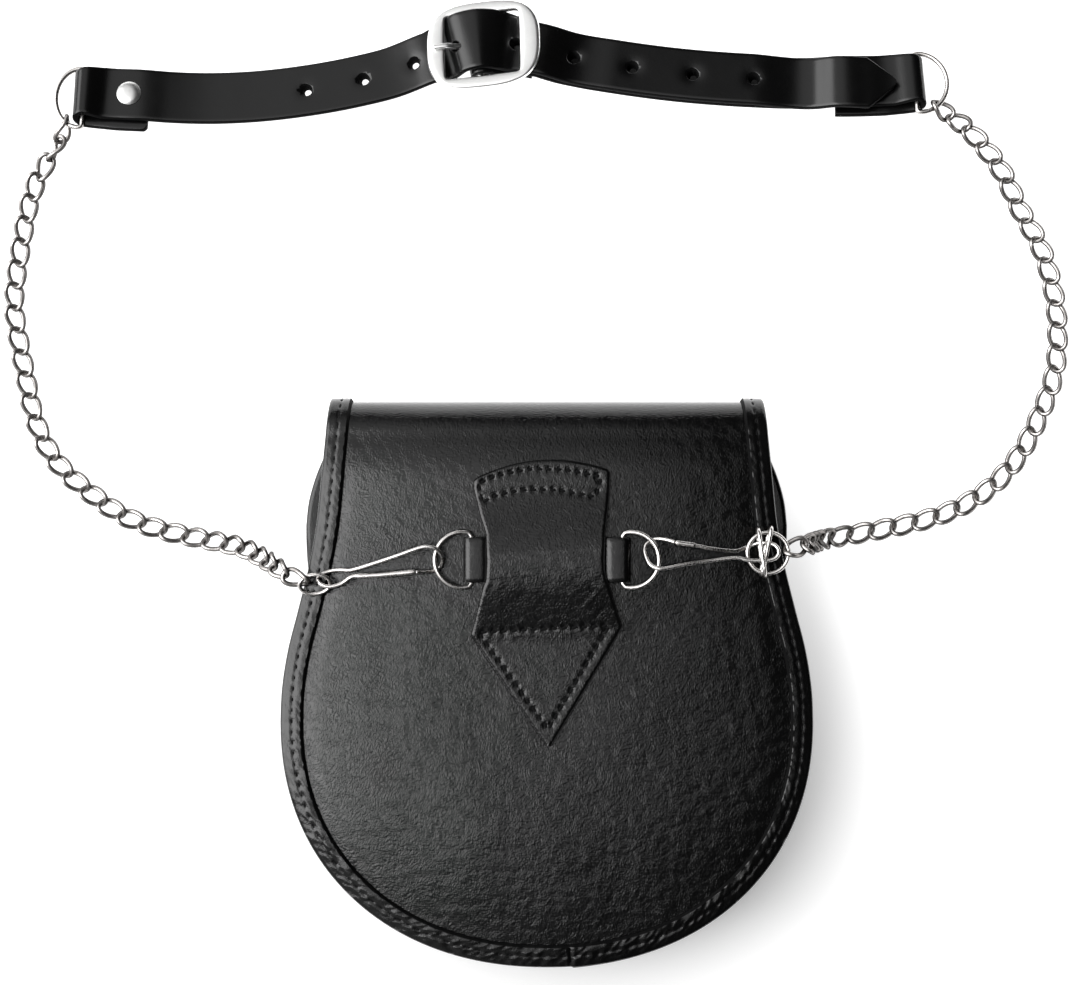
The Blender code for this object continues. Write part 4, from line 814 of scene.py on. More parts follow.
def make_binding():
    """The strip folded over the whole rim, puckered where it turns, and its thread."""
    grid, flap_count, roll_count = cover_grid(np.linspace(-1.0, 1.0, 41))
    places, points, _, face = rim_of(grid, grid_normals(grid))
    share = np.clip((places[:, 0] - flap_count - roll_count + 20) / 20.0, 0.0, 1.0)
    along = lengths_along(points, closed=True)
    table = np.column_stack([points, face, share])
    total = along[-1]
    count = int(total / 0.8)
    at = np.arange(count) * total / count
    read = resample(np.vstack([table, table[:1]]), along, at)
    points, face, share = read[:, :3], unit(read[:, 3:6]), read[:, 6]
    # the grid's corners, where its last rows meet its sides, have no normal of their own
    corner = (np.abs(np.abs(points[:, 0]) - JOINT_X) < 3.0) & (points[:, 1] < 0)
    face[corner] = resample(face[~corner], at[~corner], at[corner])
    face = unit(face)
    outward = unit(np.cross(np.roll(points, -1, axis=0) - np.roll(points, 1, axis=0), face))
    low, high = -(LEATHER + share * (GAP + GUSSET) + GAP), np.full(count, GAP)
    # wrinkles: most where the strip goes round the pouch's and the flap's lower ends
    bend = ease((20.0 - points[:, 1]) / 70.0)
    at_joint = JOINT_X - points[:, 0]
    bottom = (points[:, 1] < -40) & (share > 0.9)
    joint = np.where(bottom & (at_joint < 0), np.exp(at_joint / 18.0), 0.0)
    slit = np.where(bottom, 0.5 * np.exp(-(at_joint / 0.45) ** 2), 0.0)
    pitch = total / round(total / STITCH_PITCH)
    from_stitch = (at + pitch / 2) % pitch - pitch / 2
    # (outward, level) of the section: the held leather, the tucked flank, then round the
    # rim and back over the outer flank to its inner edge
    section = [(-BINDING_COVER, high), (GAP, high), (GAP, low), (-BINDING_TUCK, low),
               (-BINDING_TUCK, low - 0.6), (-BINDING_TUCK + 0.5, low - BINDING),
               (-2.0, low - BINDING), (-0.4, low - BINDING)]
    for angle in math.pi * ((np.arange(7) + 0.5) / 7 - 0.5):
        half = (high - low) / 2 + BINDING
        reach = GAP - 0.3 + (BINDING + 0.3 + 0.6 * joint) * math.cos(angle) ** 0.6
        section.append((reach, (low + high) / 2 + half * signed_power(math.sin(angle), 0.8)))
    stitch_line = GAP + BINDING - STITCH_INSET
    for across in np.linspace(-0.4, -BINDING_COVER + 0.7, 17):
        t = np.clip((across + BINDING_COVER) / (BINDING_COVER - 0.4), 0.0, 1.0)
        puff = 0.18 * math.sin(math.pi * t) ** 1.5
        pucker = (0.05 + 0.10 * bend) * patchy(at + 1.3 * across, 0.7 * across, 1.3, 11)
        pucker += (0.04 + 0.05 * bend) * patchy(at - 1.2 * across, across, 3.4, 12)
        groove = 0.04 * math.exp(-((across - stitch_line) / 0.75) ** 2)
        pits = 0.26 * np.exp(-(from_stitch / 1.25) ** 2 - ((across - stitch_line) / 0.65) ** 2)
        section.append((across, high + BINDING - groove - pits
                        + share * (puff + pucker + 0.35 * joint - slit)))
    section = np.array([np.broadcast_arrays(*place) for place in section]).transpose(2, 0, 1)
    rings = (points[:, None] + outward[:, None] * section[..., :1]
             + face[:, None] * section[..., 1:])
    dress(sweep("binding_leather", pouch(rings), BINDING_LEATHER, closed=True,
                rough=(rings.shape[1] - 1,)), "binding", "edge_binding")
    read = resample(np.hstack([points, outward, face]), at, np.arange(0, total - 0.1, pitch))
    centre, outward, face = read[:, :3], unit(read[:, 3:6]), unit(read[:, 6:9])
    centre = centre + outward * stitch_line + face * (GAP + BINDING - 0.24)
    dress(stitches("binding_stitches", pouch(centre), np.cross(face, outward), face,
                   length=2.3, width=1.05, height=0.55), "binding")


def body_outline():
    """(x, y) round the pouch body's edge from its top left, down and up to its top right."""
    ys = np.linspace(GUSSET_TOP_Y, 0.0, 36)
    side = np.column_stack([-smooth_table(BACK_SIDE, ys), ys])
    angles = np.linspace(0.0, math.pi, 121)[1:-1]
    half_width, drop, roundness = BACK_END
    bottom = np.column_stack([-half_width * signed_power(np.cos(angles), 2 / roundness),
                              -drop * np.sin(angles) ** (2 / roundness)])
    outline = np.concatenate([side, bottom, side[::-1] * (-1, 1)])
    along = lengths_along(outline)
    return resample(outline, along, np.linspace(0, along[-1], int(along[-1] / 1.6)))


def front_z(x, y):
    radius = back_radius(x / FRONT_SCALE[0],
                         np.where(y > 0, np.minimum(y, 80.0), y / FRONT_SCALE[1]))
    return FRONT_Z + FRONT_LIFT * np.minimum(radius, 1.0) ** 4


def make_gusset():
    """The strip between back and front, softly folded in between its two flanges."""
    outline = body_outline()
    tangent = unit(np.gradient(outline, axis=0))
    inward = np.column_stack([-tangent[:, 1], tangent[:, 0]])
    along = lengths_along(outline)
    creases = 0.35 * patchy(along, 0.0, 6.0, 21)

    def line(surface, inset, height):
        x, y = (outline + inward * inset).T
        return np.column_stack([x, y, surface(x, y) + height])

    def under_back(inset, height=0.0):
        return line(back_z, inset, height - LEATHER - GAP)

    def over_front(inset, height=0.0):
        return line(front_z, inset, height + LEATHER + GAP)

    def wall(start, end):
        rows = []
        for t in np.arange(10) / 9:
            rows.append(start * (1 - t) + end * t)
            bow = math.sin(math.pi * t) + creases * math.sin(2 * math.pi * t)
            rows[-1][:, :2] -= inward * bow[:, None]
        return rows
    section = [under_back(0.3), under_back(4.0), under_back(7.6),
               *wall(under_back(9.2), over_front(10.4, GUSSET)),
               over_front(12.5, GUSSET), over_front(15.5, GUSSET), over_front(15.5),
               over_front(11.5), *wall(over_front(8.6), under_back(7.2, -GUSSET)),
               under_back(4.0, -GUSSET), under_back(0.3, -GUSSET)]
    rings = np.array(section).transpose(1, 0, 2)
    dress(sweep("gusset_leather", pouch(rings), COVER_LEATHER), "leather", "gusset")


def make_front_panel():
    columns = np.linspace(-1.0, 1.0, 61)
    rows = side_rows(BACK_SIDE, np.linspace(FRONT_TOP_Y, 2.0, 30), columns, FRONT_INSET)
    rows += [row * FRONT_SCALE for row in
             rounded_rows(np.linspace(0.0, LAST_SHARE, 30), columns, *BACK_END)]
    grid = pouch(raised(rows[::-1], front_z))
    dress(leather_sheet("front_panel_leather", grid, LEATHER, COVER_LEATHER), "leather",
          "front_panel")


def lathe(name, profile, centre, axes, finish, steps=48):
    """A turned solid: (radius, height) rows that start and end on the axis."""
    along, over, up = axes
    rings = [centre + up * height + radius * arc(turns(steps), along, over)
             for radius, height in profile[1:-1]]
    points = [*np.concatenate(rings), centre + up * profile[0][1], centre + up * profile[-1][1]]
    return mesh_piece(name, points, tipped_faces(len(rings), steps), finish, 40.0)


def make_flap_snap():
    low, high = LEATHER + GAP, FRONT_Z - GAP
    r = SNAP_RADIUS
    profile = ((0.0, low), (r - 0.6, low), (r, low + 0.3), (r, high - 0.5), (r - 0.5, high - 0.1),
               (r - 2.0, high), (0.0, high - 0.2))
    dress(lathe("flap_snap_disc", profile, pouch((0.0, SNAP_Y, 0.0)), np.eye(3), NICKEL),
          "nickel", "flap_snap")


# ---------------------------------------------------------------- hanger

def hanger_surface(u, v):
    """Outer face of the patch: flat on the panel, arched over the ring strap."""
    above = np.clip((v - 3.0) / 19.5, 0.0, 1.0)
    below = np.clip((-v - 1.0) / 28.0, 0.0, 1.0) ** 1.1
    over = 1 - 0.3 * ease(above) - 0.7 * above - ease(below)
    x, y = (a + b for a, b in zip(HANGER_CENTRE, turned(u, v, HANGER_TURN)))
    base = back_z(x, y) * (1 - over) + back_z(0.0, HANGER_CENTRE[1]) * over
    lift = 2 * RING_STRAP_LAYER + 2 * GAP
    sag = 0.10 * patchy(x, y, 24.0, 3) * (1 - over)
    # creases that run in from the strap's lower corners
    fan = np.exp(-((v + 15.0) / 4.0) ** 2) * ease((np.abs(u) - 9.0) / 9.0)
    ripples = 0.16 * fan * patchy(u * 0.9 - np.sign(u) * v * 0.9, v * 0.25, 1.7, 31)
    return np.stack([x, y, base + GAP + HANGER_LEATHER + over * lift + sag + ripples], axis=-1)


def make_hanger_patch():
    """The stitched patch and its thread."""
    top, tip = HANGER_LEFT[0][0], HANGER_LEFT[-1][0]
    shares = np.sin(np.linspace(-1.0, 1.0, 97) * 1.38) / math.sin(1.38)
    vs = np.concatenate([top - np.linspace(0.0, 1.0, 12) ** 1.6 * 4.0,
                         np.linspace(top - 4.5, tip, 170)])[:, None]
    left, right = straight_table(HANGER_LEFT, vs), straight_table(HANGER_RIGHT, vs)
    # blunt corners; any rounder and the bowed rows would fold over at their ends
    from_top = np.clip(top - vs, 0.0, HANGER_CORNER)
    half = (right - left) / 2 - 0.85 * HANGER_CORNER * (1 - from_top / HANGER_CORNER) ** 1.5
    bow = HANGER_TOP_BOW * ease((vs - 8.0) / (top - 8.0))
    grid = hanger_surface((left + right) / 2 + shares * half,
                          vs + bow * (1 - shares**2 + 0.09 * shares))
    # the trimmed edge has a narrow bevel
    inside = np.minimum((1 - np.abs(shares)) * half * np.where(vs < -24.0, 0.8, 1.0),
                        np.maximum(top - vs, 0.0) + 0.15)
    bevel = 0.32 * np.exp(-(inside / 0.5) ** 2)
    # rows run down the patch, so left to right columns already face out of the pouch
    normals = grid_normals(grid)
    centres, tangents = [], []
    for line in stitch_runs(HANGER_TOP_STITCHES) + stitch_runs(HANGER_TIP_STITCHES):
        run = np.array(smooth_route([(*place, 0.0) for place in line], 12))[:, :2]
        along = lengths_along(run)
        number = max(1, round(along[-1] / HANGER_PITCH))
        at = (np.arange(number) + 0.5) * along[-1] / number
        centres.append(hanger_surface(*resample(run, along, at).T))
        tangents.append(hanger_surface(*resample(run, along, at + 0.1).T) - centres[-1])
    centres, tangents = np.concatenate(centres), unit(np.concatenate(tangents))
    outer = pressed(grid.reshape(-1, 3), normals.reshape(-1, 3), centres, 0.36, 1.0)
    outer = outer.reshape(grid.shape) - normals * bevel[..., None]
    dress(leather_sheet("hanger_leather", pouch(grid), HANGER_LEATHER, COVER_LEATHER,
                        bulge=0.3, outer=pouch(outer)), "leather", "hanger_patch")
    up = np.tile((0.0, 0.0, 1.0), (len(centres), 1))
    up = unit(up - tangents * np.sum(up * tangents, axis=1, keepdims=True))
    dress(stitches("hanger_stitches", pouch(centres - up * 0.2), tangents, up,
                   length=2.0, width=1.05, height=0.5), "leather")


def stitch_runs(line):
    """The stitch line's stretches between its sharp corners."""
    line = np.array(line, float)
    steps = unit(np.diff(line, axis=0))
    corners = 1 + np.flatnonzero(np.sum(steps[:-1] * steps[1:], axis=1) < 0.75)
    return [line[start:end + 1] for start, end in zip([0, *corners], [*corners, len(line) - 1])]


def ring_strap_z():
    return float(back_z(0.0, HANGER_CENTRE[1])) + GAP + RING_STRAP_LAYER


def strap_section(half, thickness, corner, steps, columns):
    """(across, through) round a strap: upper face, rounded edge, under face and edge."""
    across = np.linspace(-half + corner, half - corner, columns)
    angles = math.pi / 2 * (1 - 2 * np.arange(1, steps) / steps)
    edge = arc(angles, (corner, 0), (0, thickness / 2)) + (half - corner, 0)
    side = np.concatenate([np.column_stack([across, np.full(columns, thickness / 2)]), edge])
    return np.concatenate([side, -side])


def make_ring_strap():
    """One strap closed round the bars of both rings, its layers pressed together between."""
    layer = 1.42
    radius = RING_WIRE + GAP + layer / 2 + 0.05
    flat = RING_STRAP_LAYER - layer / 2
    t = np.linspace(0.0, 1.0, 9)[1:]
    flare = np.array([*zip(17.6 + 4.6 * t, flat + (radius - flat) * ease(t)), (23.8, radius)])
    turn = arc(np.radians(np.linspace(90, -90, 15)), (radius, 0), (0, radius))
    turn += (POUCH_RING_BAR_X + 0.25, 0)
    # (x, height over the middle) along its upper layer and back below to the middle
    half = np.array([*((x, flat) for x in np.linspace(-17.6, 17.6, 15)), *flare, *turn,
                     *(flare[::-1] * (1, -1))])
    path = np.concatenate([half, -half])
    tangent = unit(np.roll(path, -1, axis=0) - np.roll(path, 1, axis=0))
    section = strap_section(RING_STRAP_WIDTH / 2, layer, 0.45, 4, 11)
    rings = np.zeros((len(path), len(section), 3))
    rings[..., 0] = path[:, :1] - tangent[:, 1:] * section[:, 1]
    rings[..., 1] = HANGER_CENTRE[1] + section[:, 0]
    rings[..., 2] = ring_strap_z() + path[:, 1:] + tangent[:, :1] * section[:, 1]
    dress(sweep("ring_strap_leather", pouch(rings), BINDING_LEATHER, closed=True), "strap",
          "ring_strap")


def make_pouch_ring(side, word):
    """A D-ring whose straight bar lies in the ring strap's loop."""
    offset = POUCH_RING_CENTRE_X - POUCH_RING_BAR_X
    start = math.acos(-offset / POUCH_RING_RADIUS)
    angles = np.linspace(start - 0.10, -start + 0.10, 56)
    bow = arc(angles, (POUCH_RING_RADIUS, 0), (0, POUCH_RING_RADIUS)) + (offset, 0)
    bar = POUCH_RING_RADIUS * math.sin(start) - 0.9
    straight = [(0.0, y) for y in np.linspace(-bar + 1.2, bar - 1.2, 10)]
    flat = np.array([*bow, (0.12, -bar - 0.2), (0.0, -bar + 0.4), *straight, (0.0, bar - 0.4),
                     (0.12, bar + 0.2)])
    points = np.column_stack([side * (POUCH_RING_BAR_X + flat[:, 0] * math.cos(POUCH_RING_TIP)),
                              HANGER_CENTRE[1] + flat[:, 1],
                              ring_strap_z() + flat[:, 0] * math.sin(POUCH_RING_TIP)])
    nickel_wire("pouch_ring_" + word, pouch(points), 1.12 * RING_WIRE)


# ---------------------------------------------------------------- belt

def belt_points(x, across, height):
    """Places on the belt: along it, across it (towards +Y) and up from its under face."""
    x, across, height = np.broadcast_arrays(np.asarray(x, float), across, height)
    y = smooth_table(BELT_LINE, x)
    turn = np.arctan2(smooth_table(BELT_LINE, x + 1) - smooth_table(BELT_LINE, x - 1), 2)
    zero = np.zeros_like(turn)
    along = np.stack([np.cos(turn), np.sin(turn), zero], axis=-1)
    over = np.stack([-np.sin(turn) * math.cos(BELT_TILT), np.cos(turn) * math.cos(BELT_TILT),
                     zero - math.sin(BELT_TILT)], axis=-1)
    up = np.cross(along, over)
    rest = BELT_WIDTH / 2 * math.sin(BELT_TILT)
    return (np.stack([x, y, zero + rest], axis=-1) + over * across[..., None]
            + up * height[..., None])


def belt_axes(x):
    base = belt_points(x, 0.0, 0.0)
    along = unit(belt_points(x + 1, 0.0, 0.0) - base)
    over = unit(belt_points(x, 1.0, 0.0) - base)
    return along, over, np.cross(along, over)


def fold(bar_x, bar_height, radius, side, under_shift):
    """Half a turn round a ring's bar, from under it to over it."""
    t = np.linspace(0.0, 1.0, 13)
    angle = math.pi * (t - 0.5)
    turn = arc(angle, (side * radius, 0), (0, radius)) + (bar_x, bar_height)
    return np.column_stack([turn, np.full(len(t), FOLD_HALF_WIDTH), under_shift * (1 - t)])


def strap_rings(line, thickness, corner=0.6):
    """Smooth rows of (x, height, half_width, shift) of a strap's middle layer, and its rings."""
    line = np.array(line, float)
    spans = np.diff(lengths_along(line[:, :2]))[:, None]
    slopes = np.diff(line, axis=0) / spans
    # each row's slope leans to its nearer neighbour's, so nothing overshoots
    between = (slopes[:-1] * spans[1:] + slopes[1:] * spans[:-1]) / (spans[:-1] + spans[1:])
    at_rows = [slopes[0], *between, slopes[-1]]
    smooth = []
    for start, end, slope_in, slope_out, (span,) in zip(line, line[1:], at_rows, at_rows[1:],
                                                        spans):
        for t in np.linspace(0.0, 1.0, max(2, round(span / 1.2)) + 1)[:-1]:
            row = hermite(t, start, end, span * slope_in, span * slope_out)
            row[2:] = start[2:] * (1 - t) + end[2:] * t
            smooth.append(row)
    line = np.array([*smooth, line[-1]])
    tangent = unit(np.gradient(line[:, :2], axis=0))
    rings = []
    for (x, height, half, shift), (forward, rise) in zip(line, tangent):
        across, through = strap_section(max(half, corner + 0.1), thickness, corner, 6, 21).T
        rings.append(belt_points(x - rise * through, shift + across, height + forward * through))
    return line, np.array(rings)


STRAP_CUT = (*range(21, 25), *range(47, 51))     # faces of strap_rings' sections


def hole_cutter(x, radius, low, high, lean=(0.0, 0.0)):
    """A straight cutter, or one that widens upwards and leans by (along, across)."""
    along, over, _ = belt_axes(x)
    ring = radius * arc(turns(28), along, over)
    start = along * lean[0] + over * lean[1]
    if not any(lean):
        return [belt_points(x, 0.0, height) + ring for height in (low, high)]
    return [belt_points(x, 0.0, height) + share * start + size * ring for height, share, size in (
        (low, 1, 0.62), (high - 2 * BILLET, 1, 0.62), (high - BILLET, 0, 1.25), (high, 0, 1.5))]


def cutters(name, solids):
    """Several cutters of stacked rings as one object, which leaves the finish of a cut."""
    points, faces = [], []
    for rings in solids:
        base, size, last = len(points), len(rings[0]), (len(rings) - 1) * len(rings[0])
        points += [*np.concatenate(rings)]
        faces += [*band_faces(len(rings), size, False, base), range(base, base + size),
                  range(base + last, base + last + size)]
    piece = mesh_piece(name, points, faces, STRAP_LEATHER)
    rough_faces(piece, np.ones(len(faces), bool))
    return piece


def dent_holes(rings, holes, depth=0.45, spread=2.6):
    """The strap's upper face gives a little round each punched hole."""
    upper = rings[:, :rings.shape[1] // 2]
    points = upper.reshape(-1, 3)
    up = np.tile(belt_axes(0.0)[2], (len(points), 1))
    upper[:] = pressed(points, up, holes, depth, spread).reshape(upper.shape)


def make_billet_strap():
    """The pierced strap, from the left ring to its point on top of the buckle strap."""
    half = BELT_WIDTH / 2
    floor = BILLET / 2
    radius = BELT_RING_WIRE + GAP + BILLET / 2
    strap_top = BUCKLE_STRAP + GAP + BILLET / 2
    levels = {"floor": floor, "itself": floor + BILLET + GAP, "strap": strap_top,
              "bar": strap_top + BUCKLE_STRAP + 2 * (BUCKLE_BAR_RADIUS + BUCKLE_FOLD_GAP)}
    line = [(LEFT_TURN_END_X - back, floor, half - narrower, LEFT_UNDER_SHIFT)
            for back, narrower in ((0.0, 1.2), (0.4, 0.5), (1.2, 0.0), (11.0, 0.0))]
    line += [*fold(LEFT_BAR_X, floor + radius, radius, -1, LEFT_UNDER_SHIFT)]
    for x, level, lift in BILLET_ROUTE:
        over_bar = float(ease((x + 38.0) / 8.0) * ease((-4.0 - x) / 8.0))
        line.append((x, levels[level] + lift, half + 1.5 * over_bar, 0.4 * over_bar))
    line += [(x, strap_top + BUCKLE_STRAP + GAP + lift, half_width, share * BILLET_END_SHIFT)
             for x, lift, half_width, share in BILLET_END]
    line, rings = strap_rings(line, BILLET)
    tops = [line[np.argmin(np.abs(line[:, 0] - x)), 1] + BILLET / 2 for x in HOLES_X]
    dent_holes(rings, [belt_points(x, 0.0, top) for x, top in zip(HOLES_X, tops)])
    strap = sweep("billet_strap_leather", rings, STRAP_LEATHER, rough=STRAP_CUT)
    punches = [hole_cutter(x, HOLE_RADIUS, -1.0, top + BILLET, lean=(0.6, -0.65))
               for x, top in zip(HOLES_X, tops)]
    punches.append(hole_cutter(RIVET_LEFT_X, RIVET_SHANK + GAP, -2.0, 9.0))
    prong = tube_rings(prong_path(False), HOLE_RADIUS, 20)
    cut(strap, cutters("billet_punches", punches), cutters("prong_bore", [prong]))
    dress(strap, "strap", "billet_strap")


def make_buckle_strap():
    """The plain strap, turned under round the buckle's bar and round the right ring's bar."""
    half = BELT_WIDTH / 2
    floor = BUCKLE_STRAP / 2
    at_buckle = BUCKLE_BAR_RADIUS + BUCKLE_FOLD_GAP + BUCKLE_STRAP / 2
    at_ring = BELT_RING_WIRE + GAP + BUCKLE_STRAP / 2
    levels = {"floor": floor, "itself": floor + BUCKLE_STRAP + GAP,
              "bar": floor + 2 * at_buckle}
    line = [(x, floor, half, 0.0) for x in (0.2, -10.0, -16.0)]
    line += [(x, height, half + 1.1, -1.1) for x, height, _, _ in
             fold(BUCKLE_BAR_X, floor + at_buckle, at_buckle, -1, 0.0)]
    for x, level, lift in BUCKLE_STRAP_ROUTE:
        wide = 1.1 * float(ease((-3.0 - x) / 7.0))
        line.append((x, levels[level] + lift, half + wide, -wide))
    line += [*fold(RIGHT_BAR_X, floor + at_ring, at_ring, 1, RIGHT_UNDER_SHIFT)[::-1]]
    line += [(x, floor, half, RIGHT_UNDER_SHIFT) for x in (121.0, RIGHT_TURN_END_X)]
    _, rings = strap_rings(line, BUCKLE_STRAP)
    strap = sweep("buckle_strap_leather", rings, STRAP_LEATHER, rough=STRAP_CUT)
    corners = ((-8.6, -1.0), (4.4, -1.0), (4.4, 9.0), (-8.6, 9.0))
    slot = [np.array([buckle_points(x, across, height) for x, height in corners])
            for across in (-1.7, 1.7)]
    punch = hole_cutter(RIVET_RIGHT_X, RIVET_SHANK + GAP, -2.0, 5.5)
    cut(strap, cutters("buckle_strap_punches", [punch, slot]))
    dress(strap, "strap", "buckle_strap")


def make_belt_ring(word, bar_x, end_x, bar_height, shift):
    """A D-ring whose straight bar lies in the strap's turn."""
    side = math.copysign(1.0, end_x - bar_x)
    reach = abs(end_x - bar_x) - BELT_RING_CORNER
    bar_end = BELT_RING_HEIGHT - BELT_RING_CORNER
    a = np.linspace(0.0, 1.2, 5)
    corner = arc(a, (-BELT_RING_CORNER, 0), (0, 0.9 * BELT_RING_CORNER))
    corner += (BELT_RING_CORNER, bar_end)
    a = np.linspace(math.pi / 2 - 0.06, -math.pi / 2 + 0.06, 48)
    bow = arc(a, (reach, 0), (0, BELT_RING_HEIGHT)) + (BELT_RING_CORNER, 0)
    bar = [(0.0, y) for y in np.linspace(-bar_end + 2, bar_end - 2, 12)]
    flat = np.array([*corner, *bow, *(corner[::-1] * (1, -1)), *bar])
    points = belt_points(bar_x + side * flat[:, 0], shift + flat[:, 1], bar_height)
    nickel_wire("belt_ring_" + word, points, 1.1 * BELT_RING_WIRE)


def make_rivet(word, x, top, head_radius, head):
    t = np.linspace(0.15, 1.0, 8)
    dome = zip(head_radius * t, top + GAP + (head - GAP) * (1 - t**3.2) * 0.96)
    profile = [(0.0, top + head), *dome, (head_radius - 0.1, top + GAP - 0.02),
               (RIVET_SHANK, top + GAP - 0.02), (RIVET_SHANK, -GAP), (2.9, -GAP), (2.9, -0.7),
               (2.6, -0.8), (0.0, -0.8)]
    dress(lathe("rivet_%s_head" % word, profile, belt_points(x, 0.0, 0.0), belt_axes(x),
                POLISHED), "polished_nickel", "rivet_" + word)


def buckle_height(x):
    share = (x - BUCKLE_X) / BUCKLE_SIZE[0] + 0.5
    low, high = BUCKLE_HEIGHT
    return low + (high - low) * share


def buckle_points(x, across, height):
    """A place on the buckle, which sits a little turned and skewed on the belt."""
    along, over = turned(x + BUCKLE_SKEW * across, across - BUCKLE_DROP, BUCKLE_TURN)
    right, across_belt, up = belt_axes(BUCKLE_X)
    return belt_points(BUCKLE_X, 0, 0) + right * along + across_belt * over + up * height


def rounded_place(angle, half_length, half_width, power):
    c, s = math.cos(angle), math.sin(angle)
    reach = (abs(c / half_length) ** power + abs(s / half_width) ** power) ** (-1 / power)
    return reach * np.array((c, s))


def make_buckle():
    """The frame, a bulged oval with a square window, and its middle bar."""
    half_length, half_width = BUCKLE_SIZE[0] / 2, BUCKLE_SIZE[1] / 2
    window_length, window_width = BUCKLE_WINDOW[0] / 2, BUCKLE_WINDOW[1] / 2
    section = (                 # (share of the way from the window out to the edge, height)
        (1.0, 0.75), (0.985, 0.3), (0.93, 0.05), (0.5, 0.0), (0.06, 0.0), (0.0, 0.25),
        (0.0, 1.35), (0.02, 1.85), (0.06, 2.15), (0.14, 2.28), (0.34, 2.34), (0.56, 2.37),
        (0.78, 2.34), (0.91, 2.22), (0.97, 1.9), (0.995, 1.3))
    rings = []
    for angle in turns(144) + math.pi / 144:
        inner_angle = math.atan2(math.sin(angle) * window_width, math.cos(angle) * window_length)
        outer = rounded_place(angle, half_length, half_width, 2.9)
        inner = rounded_place(inner_angle, window_length, window_width, 22)
        inner = inner + (BUCKLE_WINDOW_SHIFT, 0.0)
        places = [(*(inner + (outer - inner) * share), height) for share, height in section]
        rings.append([buckle_points(x, across, buckle_height(BUCKLE_X + x) + height)
                      for x, across, height in places])
    plate = sweep("buckle_frame_plate", np.array(rings), POLISHED, closed=True)
    line = ((-13.0, 7.2), (-11.8, 6.2), (-11.1, BAR_HEIGHT + 0.8), (-10.2, BAR_HEIGHT),
            (10.2, BAR_HEIGHT), (11.1, BAR_HEIGHT + 0.8), (11.8, 6.2), (13.0, 7.2))
    path = smooth_route([belt_points(BUCKLE_BAR_X, *place) for place in line], 5)
    join(plate, wire_piece("buckle_bar", path, BUCKLE_BAR_RADIUS, POLISHED, sides=16))
    dress(plate, "polished_nickel", "buckle_frame")


def join(piece, other):
    """Adds another object's mesh to a piece's."""
    shell = bmesh.new()
    shell.from_mesh(piece.data)
    shell.from_mesh(other.data)
    shell.to_mesh(piece.data)
    shell.free()
    bpy.data.objects.remove(other)


def prong_path(with_hook):
    """The prong's middle line, with the hook round the bar or from above the bar."""
    hook = BUCKLE_BAR_RADIUS + GAP + PRONG_RADIUS
    angles = np.radians((-100, -65, -30, 0, 30, 60) if with_hook else ())
    line = [*(arc(angles, (hook, 0), (0, hook)) + (BUCKLE_BAR_X, BAR_HEIGHT)),
            (BUCKLE_BAR_X, BAR_HEIGHT + hook), (BUCKLE_BAR_X - 3.5, BAR_HEIGHT + hook + 0.5),
            (-28.3, 8.3), (-30.8, 9.3), (-33.4, 9.4), (-35.4, 9.15)]
    return np.array(smooth_route([buckle_points(x - BUCKLE_X, 0.2, height)
                                  for x, height in line], 6))


def make_prong():
    path = prong_path(True)
    along = lengths_along(path)
    radius = PRONG_RADIUS * (1 - 0.18 * ease((along - along[-1] + 6.0) / 6.0))
    dress(wire_piece("buckle_prong_wire", path, radius, POLISHED, sides=24, power=0.6),
          "polished_nickel", "buckle_prong")


# ---------------------------------------------------------------- clips, rings and chains

def wire_loop(node, centre, along, side, half_length, half_width, straight=False):
    """An oval ring, or one with straight sides and round ends."""
    angles = turns(64) + math.pi / 64
    reach = half_length * np.cos(angles)
    if straight:
        reach = (half_length - half_width) * np.sign(reach) + half_width * np.cos(angles)
    nickel_wire(node, centre + np.outer(reach, unit(np.array(along)))
                + np.outer(half_width * np.sin(angles), unit(np.array(side))), CLIP_WIRE)


def make_clip(word, table, sleeve):
    """A bent wire whose first `sleeve` rows are thicker, where its end is clasped."""
    path = np.array(smooth_route(table, 7))
    thicker = np.interp(np.linspace(0, len(table) - 1, len(path)), np.arange(len(table)),
                        np.arange(len(table)) < sleeve)
    nickel_wire("clip_" + word, path, CLIP_WIRE * (1 + 0.3 * ease(thicker * 4 - 1.5)), False)


def rolled_height(roll):
    return ((LINK_HALF_WIDTH + LINK_WIRE) * abs(math.sin(roll))
            + (LINK_TWIST + LINK_WIRE) * abs(math.cos(roll)))


def walk(route, rolls, pitch):
    """Equal steps along a route from its start, with the roll at each of them."""
    joints = [(route[0], rolls[0].x)]
    for start, end, roll in zip(route, route[1:], rolls):
        while (end - joints[-1][0]).length >= pitch:
            last = joints[-1][0]
            share = halved(0.0, 1.0, lambda t: (start.lerp(end, t) - last).length < pitch)[1]
            joints.append((start.lerp(end, share), roll.x))
            start = joints[-1][0]
    return joints


def chain_joints(table):
    """Where link meets link, from the table's first place to its last one."""
    route = smooth_route([(x, y, low + rolled_height(math.radians(roll)))
                          for x, y, low, roll in table])
    rolls = smooth_route([(row[3], 0, 0) for row in table])
    end, inward, _ = link_place(0, *PACKED_LINK)
    shortest = 2 * (end[0] + inward[0] * LINK_WIRE) + LINK_BITE
    count = len(walk(route, rolls, shortest))
    pitch = halved(shortest, 1.1 * shortest,
                   lambda pitch: len(walk(route, rolls, pitch)) >= count)[0]
    return walk(route, rolls, pitch)[:count]


